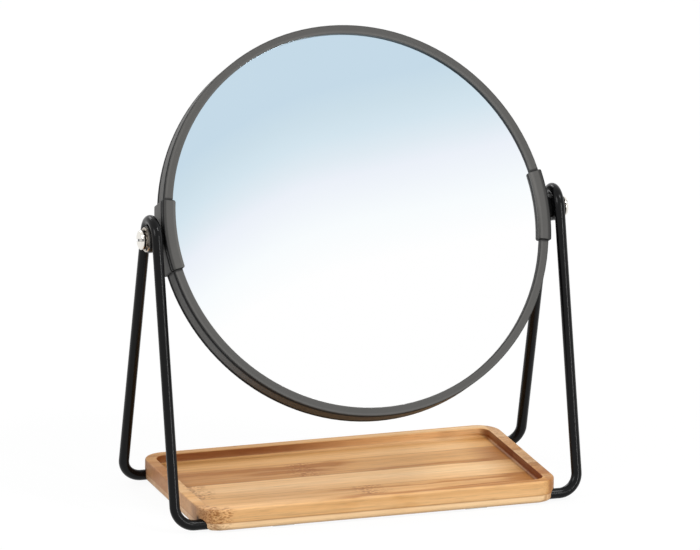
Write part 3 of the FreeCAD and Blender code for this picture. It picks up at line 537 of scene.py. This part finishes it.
def makeBamboo():
    # Laminated strips with long fibres: streaks along the board, dots where it is cut across.
    material, tree, surface = newMaterial("bamboo")
    sizes = bambooSizes
    look = bambooSurface
    vector = millimetres(tree)
    along, across, upward = splitVector(tree, vector)
    lower = calc(tree, "LESS_THAN", upward, sizes["plyJoint"])

    def rise(value, name):
        return smoothStep(tree, value, *bambooMasks[name])

    def fall(value, name):
        return inverse(tree, rise(value, name))

    def spanned(value, name):
        return calc(tree, "MULTIPLY_ADD", value, *bambooSpan[name])

    def stretched(name):
        return millimetres(tree, stretch=bambooStretch[name])

    def evenNoise(place, scale, size, detail):
        return calc(tree, "MULTIPLY", calc(
            tree, "SUBTRACT", noise(tree, place, scale, detail), 0.5), size)

    def cells(place, scale):
        return addNode(tree, "ShaderNodeTexVoronoi", {"Vector": place, "Scale": scale},
                       feature="F1").outputs["Distance"]

    # which strip, and how far from its nearest edge
    shifted = calc(tree, "MULTIPLY_ADD", lower, sizes["lowerPlyShift"], across)
    wander = evenNoise(stretched("wander"), 1.0, sizes["wander"], detail=1.0)
    counted = calc(tree, "DIVIDE", calc(
        tree, "ADD", calc(tree, "SUBTRACT", shifted, sizes["stripStart"]), wander),
        sizes["stripWidth"])
    stripNumber = calc(tree, "FLOOR", counted)
    within = calc(tree, "FRACT", counted)
    edge = calc(tree, "MULTIPLY", calc(tree, "MINIMUM", within, inverse(tree, within)),
                sizes["stripWidth"])
    plyGap = calc(tree, "ABSOLUTE", calc(tree, "SUBTRACT", upward, sizes["plyJoint"]))
    glue = fall(calc(tree, "MINIMUM", edge, plyGap), "glue")
    # half a step more keeps clear of the ramp's own steps
    order = calc(tree, "DIVIDE", calc(tree, "ADD", stripNumber, 0.5 - firstStrip),
                 len(stripTones))

    def perStrip(values):
        stops = [(index / len(values), grey(value)) for index, value in enumerate(values)]
        return ramp(tree, order, stops, "CONSTANT")

    # tone of each strip, drifting along its length, with painted shade deepening it towards one end
    stripKey = calc(tree, "MULTIPLY_ADD", lower, plyKey, stripNumber)
    driftPlace = joinVector(tree, *(
        calc(tree, "MULTIPLY", value, factor)
        for value, factor in zip((along, stripKey, across), bambooStretch["drift"])))
    drift = calc(tree, "SUBTRACT", noise(tree, driftPlace, 1.0, detail=2.0), 0.5)
    slope = calc(tree, "SUBTRACT", perStrip(stripSideShade), 0.5)
    sideShade = product(tree, slope, along, bambooTone["sideShade"])
    tone = calc(tree, "MULTIPLY_ADD", drift, bambooTone["drift"],
                calc(tree, "ADD", perStrip(stripTones), sideShade))
    tone = calc(tree, "MULTIPLY_ADD", lower, bambooTone["lower"], tone)

    # fibres
    fibrePlace = joinVector(
        tree, calc(tree, "MULTIPLY", along, bambooStretch["fibre"]),
        calc(tree, "MULTIPLY_ADD", stripKey, fibreKey, across), upward)
    streak = noise(tree, fibrePlace, bambooScale["streak"], detail=6.0, roughness=0.72)
    broadStreak = noise(tree, fibrePlace, bambooScale["broadStreak"])
    finePlace = joinVector(
        tree, calc(tree, "MULTIPLY", along, bambooStretch["fineFibre"]), across, upward)
    fineStreak = noise(tree, finePlace, bambooScale["fineStreak"], roughness=0.6)
    bundleMark = fall(cells(fibrePlace, bambooScale["bundle"]), "bundle")
    tone = calc(tree, "MULTIPLY_ADD", calc(tree, "SUBTRACT", broadStreak, 0.5),
                bambooTone["broadStreak"], tone)
    ragged = evenNoise(stretched("ragged"), 1.0, sizes["raggedness"], detail=3.0)
    for place, half, start, end, strength in heartStreaks:
        startFrom, startFull = (start + step for step in sizes["streakStart"])
        endFrom, endFull = (end + step for step in sizes["streakEnd"])
        here = product(
            tree, band(tree, calc(tree, "ADD", across, ragged), place,
                       half * sizes["streakCore"], half),
            smoothStep(tree, along, startFrom, startFull),
            inverse(tree, smoothStep(tree, along, endFrom, endFull)))
        tone = calc(tree, "MULTIPLY_ADD", here, strength, tone)

    # inside the well, and cut across the fibres where a face looks along X
    normal = splitVector(tree, addNode(tree, "ShaderNodeNewGeometry").outputs["Normal"])
    sideways = calc(tree, "ABSOLUTE", normal[0])
    upright = calc(tree, "ABSOLUTE", normal[2])
    fromMiddle = calc(tree, "ABSOLUTE", calc(tree, "SUBTRACT", across, sizes["middle"]))
    margin = sizes["wellMargin"]
    inside = product(
        tree,
        calc(tree, "LESS_THAN", calc(tree, "ABSOLUTE", along), sizes["wellLength"] + margin),
        calc(tree, "LESS_THAN", fromMiddle, sizes["wellDepth"] + margin),
        calc(tree, "GREATER_THAN", upward, sizes["wellFloor"] - margin))
    endGrain = product(tree, rise(sideways, "endGrain"), inverse(tree, inside))
    nearFloor = calc(tree, "LESS_THAN", upward, sizes["wellFloor"] + sizes["creaseHeight"])
    # painted shade on the floor of the well beside its right wall
    beside = product(tree, inside, rise(along, "beside"), nearFloor)
    tone = calc(tree, "MULTIPLY_ADD", beside, bambooTone["beside"], tone, clamp=True)

    # knuckles: a band of short specks across each strip
    knuckleAt = calc(tree, "MULTIPLY", calc(tree, "SUBTRACT", perStrip(stripKnuckles), 0.5),
                     sizes["knuckleSpan"])
    ripple = evenNoise(vector, bambooScale["ripple"], sizes["ripple"], detail=2.0)
    fromKnuckle = calc(tree, "ABSOLUTE", calc(tree, "ADD", calc(
        tree, "SUBTRACT", along, knuckleAt), ripple))
    speckPlace = stretched("speck")
    speckSize = spanned(noise(tree, speckPlace, bambooScale["speckSize"]), "speckSize")
    specks = fall(calc(tree, "DIVIDE", cells(speckPlace, 1.0), speckSize), "speck")
    knuckle = product(tree, fall(fromKnuckle, "knuckle"), specks)

    # cut fibre ends show as dots round the front left corner and on the right rim
    dots = fall(cells(stretched("dot"), bambooScale["dot"]), "dot")
    corner = product(
        tree, band(tree, sideways, *bambooMasks["cornerTurn"]), fall(along, "cornerLeft"),
        fall(across, "cornerFront"), spanned(dots, "cornerDots"))
    rightRim = product(tree, rise(along, "rightRim"), inverse(tree, endGrain),
                       spanned(dots, "rimDots"))

    # the holes where the wires go in lie in shade
    hole = product(
        tree, band(tree, calc(tree, "ABSOLUTE", across), *bambooMasks["groove"]),
        rise(calc(tree, "ABSOLUTE", along), "boardEnd"), fall(upward, "overHole"))

    # painted shade: the wall of the well darker than the faces, the long walls most at the left and the end walls
    # less towards the back, and a darker strip along the foot of the right wall
    steep = fall(upright, "level")
    crease = product(tree, inside, inverse(tree, steep), rise(along, "crease"), nearFloor)
    wallShade = addNode(tree, "ShaderNodeMix", {
        "Factor": rise(sideways, "facing"),
        "A": spanned(fall(along, "leftward"), "wallShadeSides"),
        "B": spanned(rise(across, "wallBack"), "wallShadeEnds")}).outputs["Result"]
    patchy = noise(tree, stretched("patch"), 1.0, detail=4.0, roughness=0.7)
    wall = calc(tree, "MINIMUM", product(tree, inside, steep, wallShade, spanned(patchy, "patch")),
                look["darkestWall"])

    colour = ramp(tree, tone, bambooRamps["wood"])
    colour = mixColour(tree, look["streakMix"], colour,
                       ramp(tree, streak, bambooRamps["streak"]), "MULTIPLY")
    colour = mixColour(tree, look["fineStreakMix"], colour,
                       ramp(tree, fineStreak, bambooRamps["fineStreak"]), "MULTIPLY")
    # the end grain darker towards the back is painted shade
    masks = {
        "bundle": calc(tree, "MULTIPLY", bundleMark, spanned(endGrain, "bundle")),
        "knuckle": knuckle, "lower": lower, "glue": glue, "endGrain": endGrain,
        "corner": corner, "toBack": product(tree, endGrain, rise(across, "toBack")),
        "rightRim": rightRim, "hole": hole, "crease": crease, "wall": wall,
    }
    for name, (strength, tint) in bambooLayers.items():
        colour = mixColour(tree, calc(tree, "MULTIPLY", masks[name], strength), colour,
                           paint(*tint))

    tree.links.new(colour, surface.inputs["Base Color"])
    surface.inputs["Specular IOR Level"].default_value = look["specular"]
    useHandling(tree, surface, vector, look["gloss"], look["smudge"])
    relief = calc(tree, "ADD", calc(tree, "MULTIPLY", streak, look["streakRelief"]), calc(
        tree, "MULTIPLY", calc(tree, "ADD", glue, bundleMark), look["markRelief"]))
    bump(tree, surface, relief, look["bump"], sizes["relief"] * mm)
    return material


glassLook = {
    "fullReflection": 62.0, "noReflection": -20.0, "slant": -0.13, "leftBow": 0.0035, "roughness": 0.02,
    "hazeStretch": (0.02, 0.02, 0.02), "haze": 0.05,
}
# a painted reflection of a pale sky, white to pale blue
skyReflection = [
    (0.0, paint(255, 255, 255)), (0.24, paint(248, 252, 254)), (0.49, paint(236, 241, 249)),
    (0.6, paint(224, 235, 243)), (0.73, paint(212, 229, 239)), (0.86, paint(204, 223, 234)),
    (1.0, paint(197, 218, 232)),
]


def makeSilveredGlass():
    # Silver behind clear glass, with a painted reflection of a pale blue sky that fades from the top left to the
    # bottom.
    material, tree, surface = newMaterial("silveredGlass")
    look = glassLook
    place = useMirrorPlace(tree, millimetres(tree))
    toLeft = calc(tree, "MINIMUM", place["Across"], 0.0)
    bowed = calc(tree, "MULTIPLY_ADD", product(tree, toLeft, toLeft), look["leftBow"],
                 place["Up Face"])
    level = calc(tree, "MULTIPLY_ADD", place["Across"], look["slant"], bowed)
    share = addNode(tree, "ShaderNodeMapRange", {
        "Value": level, "From Min": look["noReflection"], "From Max": look["fullReflection"]})
    clouds = noise(tree, millimetres(tree, stretch=look["hazeStretch"]), 1.0)
    haze = calc(tree, "MULTIPLY", calc(tree, "SUBTRACT", clouds, 0.5), look["haze"])
    tint = ramp(tree, calc(tree, "ADD", share.outputs["Result"], haze), skyReflection)
    tree.links.new(tint, surface.inputs["Base Color"])
    surface.inputs["Metallic"].default_value = 1.0
    surface.inputs["Roughness"].default_value = look["roughness"]
    return material


materials = {name: makeCoated(name, **look) for name, look in coated.items()}
materials.update({name: makePlated(name, **look) for name, look in plated.items()})
materials["ringPlastic"] = makeMoulded("ringPlastic", ringGloom, ringMarks)
materials["claspPlastic"] = makeMoulded("claspPlastic", claspGloom, claspMarks)
materials["bamboo"] = makeBamboo()
materials["silveredGlass"] = makeSilveredGlass()

finishOf = {
    "ring_plastic": "ringPlastic", "clasp_plastic": "claspPlastic",
    "mirror_glass": "silveredGlass", "spacer_plastic": "blackNylon",
    "wire_paint": "wirePaint", "screw_steel": "brightNickel", "washer_nylon": "blackNylon",
    "bamboo": "bamboo", "strap_steel": "zincPlate", "pad_rubber": "softPad",
}
dullNodes = ("left_washer", "right_washer", "left_nut_plate", "right_nut_plate")
for row in frame["record"]["subparts"]:
    finish = materials[finishOf[row["material_slot"]]]
    if row["node"] in dullNodes:
        finish = materials["dullNickel"]
    for holder in cadNodes[row["node"]].material_slots:
        holder.material = finish

print("finishes made:", len(materials))


# pieces that repeat or follow a path grow from geometry trees

weldWithin = 0.002      # millimetres


def newShape(name, inputs):
    tree = bpy.data.node_groups.new(name, "GeometryNodeTree")
    for socketName, kind in inputs:
        tree.interface.new_socket(name=socketName, in_out="INPUT", socket_type=kind)
    tree.interface.new_socket(name="Geometry", in_out="OUTPUT", socket_type="NodeSocketGeometry")
    return tree, tree.nodes.new("NodeGroupInput").outputs, tree.nodes.new("NodeGroupOutput")


def joined(tree, *shapes):
    node = tree.nodes.new("GeometryNodeJoinGeometry")
    for shape in shapes:
        tree.links.new(shape, node.inputs["Geometry"])
    return node.outputs["Geometry"]


def moved(tree, shape, move=(0.0, 0.0, 0.0), turn=(0.0, 0.0, 0.0)):
    return addNode(tree, "GeometryNodeTransform", {
        "Geometry": shape, "Translation": move, "Rotation": turn}).outputs["Geometry"]


def closeShape(tree, result, shape, finish):
    solid = addNode(tree, "GeometryNodeRealizeInstances", {"Geometry": shape}).outputs["Geometry"]
    finished = addNode(tree, "GeometryNodeSetMaterial", {"Geometry": solid, "Material": finish})
    tree.links.new(finished.outputs["Geometry"], result.inputs["Geometry"])


def inMetres(sizes):
    return {name: value * mm for name, value in sizes.items()}


def growPiece(name, tree, values, smoothBelow):
    piece = bpy.data.objects.new(name, bpy.data.meshes.new(name))
    bpy.context.scene.collection.objects.link(piece)
    modifier = piece.modifiers.new("shape", "NODES")
    modifier.node_group = tree
    for item in tree.interface.items_tree:
        if item.in_out == "INPUT":
            modifier[item.identifier] = values[item.name]
    grown = piece.evaluated_get(bpy.context.evaluated_depsgraph_get())
    mesh = bpy.data.meshes.new_from_object(grown)
    piece.modifiers.clear()
    piece.data = mesh
    shell = bmesh.new()
    shell.from_mesh(mesh)
    bmesh.ops.remove_doubles(shell, verts=shell.verts, dist=weldWithin * mm)
    bmesh.ops.recalc_face_normals(shell, faces=shell.faces)
    shell.to_mesh(mesh)
    shell.free()
    mesh.shade_smooth()
    mesh.set_sharp_from_angle(angle=math.radians(smoothBelow))
    return piece


# the two bent wires: one rod each, from run end over the pivot to run end

wireSizes = {"Plane": 94.0, "Half Spread": 38.9, "Run Height": 3.15, "Apex Height": 159.02,
             "Run End": 8.0, "Foot Bend": 8.75, "Crook Bend": 8.4, "Rod Radius": 2.35}


def makeWireShape():
    tree, given, result = newShape("bentWire", [
        (name, "NodeSocketFloat") for name in wireSizes] + [("Finish", "NodeSocketMaterial")])
    backwards = opposite(tree, given["Half Spread"])
    side = calc(tree, "SIGN", given["Plane"])
    endX = calc(tree, "MULTIPLY", given["Run End"], side)
    corners = [(endX, backwards, given["Run Height"]),
               (given["Plane"], backwards, given["Run Height"]),
               (given["Plane"], 0.0, given["Apex Height"]),
               (given["Plane"], given["Half Spread"], given["Run Height"]),
               (endX, given["Half Spread"], given["Run Height"])]
    bends = [0.0, given["Foot Bend"], given["Crook Bend"], given["Foot Bend"], 0.0]
    number = addNode(tree, "GeometryNodeInputIndex").outputs["Index"]

    def chosen(kind, options):
        node = addNode(tree, "GeometryNodeIndexSwitch", data_type=kind)
        while len(node.index_switch_items) < len(options):
            node.index_switch_items.new()
        tree.links.new(number, node.inputs["Index"])
        for index, option in enumerate(options):
            if isinstance(option, bpy.types.NodeSocket):
                tree.links.new(option, node.inputs[str(index)])
            else:
                node.inputs[str(index)].default_value = option
        return node.outputs["Output"]

    chain = addNode(tree, "GeometryNodeMeshLine", {"Count": len(corners)}).outputs["Mesh"]
    placed = addNode(tree, "GeometryNodeSetPosition", {
        "Geometry": chain, "Position": chosen("VECTOR", [joinVector(tree, *corner)
                                                         for corner in corners])})
    line = addNode(tree, "GeometryNodeMeshToCurve", {"Mesh": placed.outputs["Geometry"]})
    bent = addNode(tree, "GeometryNodeFilletCurve", {
        "Curve": line.outputs["Curve"], "Radius": chosen("FLOAT", bends), "Count": 24},
        mode="POLY")
    section = addNode(tree, "GeometryNodeCurvePrimitiveCircle", {
        "Resolution": 28, "Radius": given["Rod Radius"]})
    rod = addNode(tree, "GeometryNodeCurveToMesh", {
        "Curve": bent.outputs["Curve"], "Profile Curve": section.outputs["Curve"],
        "Fill Caps": True})
    closeShape(tree, result, rod.outputs["Mesh"], given["Finish"])
    return tree


wireShape = makeWireShape()
for side, sign in sides.items():
    values = inMetres(wireSizes)
    values["Plane"] *= sign
    values["Finish"] = materials["wirePaint"]
    wire = growPiece(side + "BentWire", wireShape, values, smoothBelow=40)
    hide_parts(side + "_wire")
    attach(wire, "stand")

print("wires bent:", len(wire.data.polygons), "faces each")


# a toothed lock washer under each pivot screw head, its teeth twisted

lockSizes = {"Bore Radius": 2.1, "Root Radius": 3.8, "Tip Radius": 4.88, "Thickness": 0.5,
             "Tooth Width": 1.35, "Tooth Thickness": 0.3}
lockTeeth = {"Teeth": 10, "Twist": 15.0}
toothStart = 0.9        # where a tooth begins, as a share of the root radius
lockMiddle = 97.4


def makeLockShape():
    tree, given, result = newShape("toothedWasher", [
        (name, "NodeSocketFloat") for name in lockSizes] + [
        ("Teeth", "NodeSocketInt"), ("Twist", "NodeSocketFloat"), ("Spin", "NodeSocketFloat"),
        ("Middle", "NodeSocketVector"), ("Upright", "NodeSocketVector"),
        ("Finish", "NodeSocketMaterial")])
    both = calc(tree, "ADD", given["Bore Radius"], given["Root Radius"])
    half = calc(tree, "MULTIPLY", both, 0.5)
    width = calc(tree, "SUBTRACT", given["Root Radius"], given["Bore Radius"])
    circle = addNode(tree, "GeometryNodeCurvePrimitiveCircle", {"Resolution": 60, "Radius": half})
    section = addNode(tree, "GeometryNodeCurvePrimitiveQuadrilateral", {
        "Width": width, "Height": given["Thickness"]})
    flat = addNode(tree, "GeometryNodeCurveToMesh", {
        "Curve": circle.outputs["Curve"], "Profile Curve": section.outputs["Curve"]})
    length = calc(tree, "MULTIPLY_ADD", given["Root Radius"], -toothStart, given["Tip Radius"])
    reach = calc(tree, "MULTIPLY_ADD", length, -0.5, given["Tip Radius"])
    tooth = addNode(tree, "GeometryNodeMeshCube", {"Size": joinVector(
        tree, length, given["Tooth Width"], given["Tooth Thickness"])})
    lean = calc(tree, "RADIANS", given["Twist"])
    twisted = moved(tree, tooth.outputs["Mesh"], turn=joinVector(tree, lean))
    places = addNode(tree, "GeometryNodeMeshCircle", {"Vertices": given["Teeth"], "Radius": reach})
    position = addNode(tree, "GeometryNodeInputPosition").outputs["Position"]
    outward = addNode(tree, "FunctionNodeAlignRotationToVector", {"Vector": position}, axis="X")
    teeth = addNode(tree, "GeometryNodeInstanceOnPoints", {
        "Points": places.outputs["Mesh"], "Instance": twisted,
        "Rotation": outward.outputs["Rotation"]})
    whole = joined(tree, flat.outputs["Mesh"], teeth.outputs["Instances"])
    spun = moved(tree, whole, turn=joinVector(tree, z=given["Spin"]))
    closeShape(tree, result, moved(tree, spun, given["Middle"], given["Upright"]), given["Finish"])
    return tree


lockShape = makeLockShape()
for side, sign in sides.items():
    values = inMetres(lockSizes)
    values.update(lockTeeth)
    values["Middle"] = (sign * lockMiddle * mm, 0.0, mirrorStance["Pivot Height"] * mm)
    values["Spin"] = math.radians(-sign * mirrorStance["Lean"])
    values["Upright"] = (0.0, math.radians(90 * sign), 0.0)
    values["Finish"] = materials["dullNickel"]
    washer = growPiece(side + "LockWasher", lockShape, values, smoothBelow=30)
    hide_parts(side + "_lock_washer")
    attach(washer, "mirror")

print("lock washers cut:", lockTeeth["Teeth"], "teeth each")


# four countersunk screws with a cross recess hold the straps

strapScrewSizes = {"Head Radius": 2.8, "Shank Radius": 1.5, "Head Depth": 1.3, "Length": 4.6,
                   "Recess Span": 3.0, "Recess Width": 0.7, "Recess Depth": 0.9,
                   "Station": 45.0, "Line": 32.55, "Bottom": 0.4}
recessTurn = 20


def fourPlaces(tree, station, line, offset=0.0):
    # a grid of four points, evenly about the middle
    grid = addNode(tree, "GeometryNodeMeshGrid", {
        "Size X": calc(tree, "MULTIPLY", station, 2.0), "Size Y": calc(tree, "MULTIPLY", line, 2.0),
        "Vertices X": 2, "Vertices Y": 2})
    return moved(tree, grid.outputs["Mesh"], joinVector(tree, y=offset))


def makeStrapScrewShape():
    tree, given, result = newShape("strapScrew", [
        (name, "NodeSocketFloat") for name in strapScrewSizes] + [
        ("Finish", "NodeSocketMaterial")])
    head = addNode(tree, "GeometryNodeMeshCone", {
        "Vertices": 40, "Radius Top": given["Shank Radius"], "Radius Bottom": given["Head Radius"],
        "Depth": given["Head Depth"]}).outputs["Mesh"]
    shankLength = calc(tree, "SUBTRACT", given["Length"], given["Head Depth"])
    shank = addNode(tree, "GeometryNodeMeshCylinder", {
        "Vertices": 24, "Radius": given["Shank Radius"], "Depth": shankLength}).outputs["Mesh"]
    shankMiddle = calc(tree, "MULTIPLY_ADD", shankLength, 0.5, given["Head Depth"])
    deep = calc(tree, "MULTIPLY", given["Recess Depth"], 2.0)
    for across, along in (("Recess Span", "Recess Width"), ("Recess Width", "Recess Span")):
        slot = addNode(tree, "GeometryNodeMeshCube", {"Size": joinVector(
            tree, given[across], given[along], deep)}).outputs["Mesh"]
        head = addNode(tree, "GeometryNodeMeshBoolean", {"Mesh 1": head, "Mesh 2": slot},
                       operation="DIFFERENCE").outputs["Mesh"]
    screw = joined(tree, head, moved(tree, shank, joinVector(tree, z=shankMiddle)))
    turned = moved(tree, screw, joinVector(tree, z=given["Bottom"]),
                   (0.0, 0.0, math.radians(recessTurn)))
    screws = addNode(tree, "GeometryNodeInstanceOnPoints", {
        "Points": fourPlaces(tree, given["Station"], given["Line"]), "Instance": turned})
    closeShape(tree, result, screws.outputs["Instances"], given["Finish"])
    return tree


values = inMetres(strapScrewSizes)
values["Finish"] = materials["dullNickel"]
strapScrews = growPiece("crossScrews", makeStrapScrewShape(), values, smoothBelow=30)
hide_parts("strap_screws")
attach(strapScrews, "stand")


# four soft pads under the tray, their rims eased

padSizes = {"Radius": 5.0, "Thickness": 1.2, "Easing": 0.3, "Station": 74.8, "Line": 24.0,
            "Offset": 1.2}


def makePadShape():
    tree, given, result = newShape("footPad", [
        (name, "NodeSocketFloat") for name in padSizes] + [("Finish", "NodeSocketMaterial")])
    side = calc(tree, "SUBTRACT", given["Thickness"], given["Easing"])
    foot = calc(tree, "SUBTRACT", given["Radius"], given["Easing"])
    wall = addNode(tree, "GeometryNodeMeshCylinder", {
        "Vertices": 48, "Radius": given["Radius"], "Depth": side}).outputs["Mesh"]
    eased = addNode(tree, "GeometryNodeMeshCone", {
        "Vertices": 48, "Radius Top": given["Radius"], "Radius Bottom": foot,
        "Depth": given["Easing"]}).outputs["Mesh"]
    wallMiddle = calc(tree, "MULTIPLY_ADD", side, 0.5, given["Easing"])
    pad = addNode(tree, "GeometryNodeMeshBoolean", {
        "Mesh 2": joined(tree, moved(tree, wall, joinVector(tree, z=wallMiddle)), eased)},
        operation="UNION")
    pads = addNode(tree, "GeometryNodeInstanceOnPoints", {
        "Points": fourPlaces(tree, given["Station"], given["Line"], given["Offset"]),
        "Instance": pad.outputs["Mesh"]})
    closeShape(tree, result, pads.outputs["Instances"], given["Finish"])
    return tree


values = inMetres(padSizes)
values["Finish"] = materials["softPad"]
pads = growPiece("softPads", makePadShape(), values, smoothBelow=30)
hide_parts("foot_pads")
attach(pads, "stand")

print("screws and pads set under the tray")


# stage: a pale floor that runs out of view, lamps and the camera

stage = {
    # metres and degrees, the lens and sensor in millimetres
    "floorSize": 30.0, "floorTone": (250, 250, 250), "floorBounce": (178, 178, 178),
    "floorLift": 0.92, "floorRoughness": 0.9, "floorSpecular": 0.1, "ambient": 0.66,
    "aim": (-0.00127, 0.0, 0.10036), "azimuth": -18.876, "elevation": 16.331, "roll": 0.796,
    "distance": 5.6156, "lens": 650.9, "sensor": 36.0, "seesTo": 100.0,
}
lamps = {
    # place, width and height in metres
    "keyLamp": {"place": (0.95, -1.85, 0.56), "width": 0.12, "height": 1.1, "power": 13.0},
    "skyLamp": {"place": (0.9, -0.9, 2.0), "width": 0.5, "height": 0.5, "power": 16.0},
    "leftLamp": {"place": (-1.7, -0.6, 1.2), "width": 0.7, "height": 0.7, "power": 12.0},
    "backLamp": {"place": (-0.5, 1.7, 1.4), "width": 0.8, "height": 0.8, "power": 10.0},
}


def seenDirectly(tree):
    # 1 for rays that come straight from the camera, off gloss or through glass
    path = addNode(tree, "ShaderNodeLightPath").outputs
    either = calc(tree, "MAXIMUM", path["Is Camera Ray"], path["Is Glossy Ray"])
    return calc(tree, "MAXIMUM", either, path["Is Transmission Ray"])


def makeFloor():
    mesh = bpy.data.meshes.new("floor")
    half = stage["floorSize"] / 2
    mesh.from_pydata([(-half, -half, 0), (half, -half, 0), (half, half, 0), (-half, half, 0)],
                     [], [(0, 1, 2, 3)])
    floor = bpy.data.objects.new("floor", mesh)
    bpy.context.scene.collection.objects.link(floor)
    material, tree, surface = newMaterial("paleFloor")
    bounce = mixColour(tree, seenDirectly(tree), paint(*stage["floorBounce"]),
                       paint(*stage["floorTone"]))
    tree.links.new(bounce, surface.inputs["Base Color"])
    surface.inputs["Roughness"].default_value = stage["floorRoughness"]
    surface.inputs["Specular IOR Level"].default_value = stage["floorSpecular"]
    glow = addNode(tree, "ShaderNodeEmission")
    amount = calc(tree, "MULTIPLY", seenDirectly(tree), stage["floorLift"])
    mixed = addNode(tree, "ShaderNodeMixShader", {
        0: amount, 1: surface.outputs["BSDF"], 2: glow.outputs["Emission"]})
    output = next(node for node in tree.nodes if node.type == "OUTPUT_MATERIAL")
    tree.links.new(mixed.outputs[0], output.inputs["Surface"])
    mesh.materials.append(material)


def makeWorld():
    world = bpy.data.worlds.new("studio")
    world.use_nodes = True
    tree = world.node_tree
    background = tree.nodes["Background"]
    background.inputs["Color"].default_value = grey(1.0)
    strength = calc(tree, "MAXIMUM", seenDirectly(tree), stage["ambient"])
    tree.links.new(strength, background.inputs["Strength"])
    bpy.context.scene.world = world


def makeLamps():
    for name, lamp in lamps.items():
        data = bpy.data.lights.new(name, "AREA")
        data.shape = "RECTANGLE"
        data.size = lamp["width"]
        data.size_y = lamp["height"]
        data.energy = lamp["power"]
        holder = bpy.data.objects.new(name, data)
        place = Vector(lamp["place"])
        aim = Vector(stage["aim"])
        holder.matrix_world = Matrix.Translation(place) @ (
            (place - aim).to_track_quat("Z", "Y").to_matrix().to_4x4())
        bpy.context.scene.collection.objects.link(holder)


def makeCamera():
    azimuth = math.radians(stage["azimuth"])
    elevation = math.radians(stage["elevation"])
    back = Vector((math.sin(azimuth) * math.cos(elevation),
                   -math.cos(azimuth) * math.cos(elevation), math.sin(elevation)))
    data = bpy.data.cameras.new("camera")
    data.lens = stage["lens"]
    data.sensor_width = stage["sensor"]
    data.sensor_fit = "HORIZONTAL"
    data.clip_end = stage["seesTo"]
    camera = bpy.data.objects.new("camera", data)
    level = back.to_track_quat("Z", "Y").to_matrix().to_4x4()
    turned = level @ Matrix.Rotation(math.radians(stage["roll"]), 4, "Z")
    camera.matrix_world = Matrix.Translation(
        Vector(stage["aim"]) + back * stage["distance"]) @ turned
    bpy.context.scene.collection.objects.link(camera)
    bpy.context.scene.camera = camera


makeFloor()
makeWorld()
makeLamps()
makeCamera()
bpy.context.scene.view_settings.view_transform = "Standard"

print("stage set")
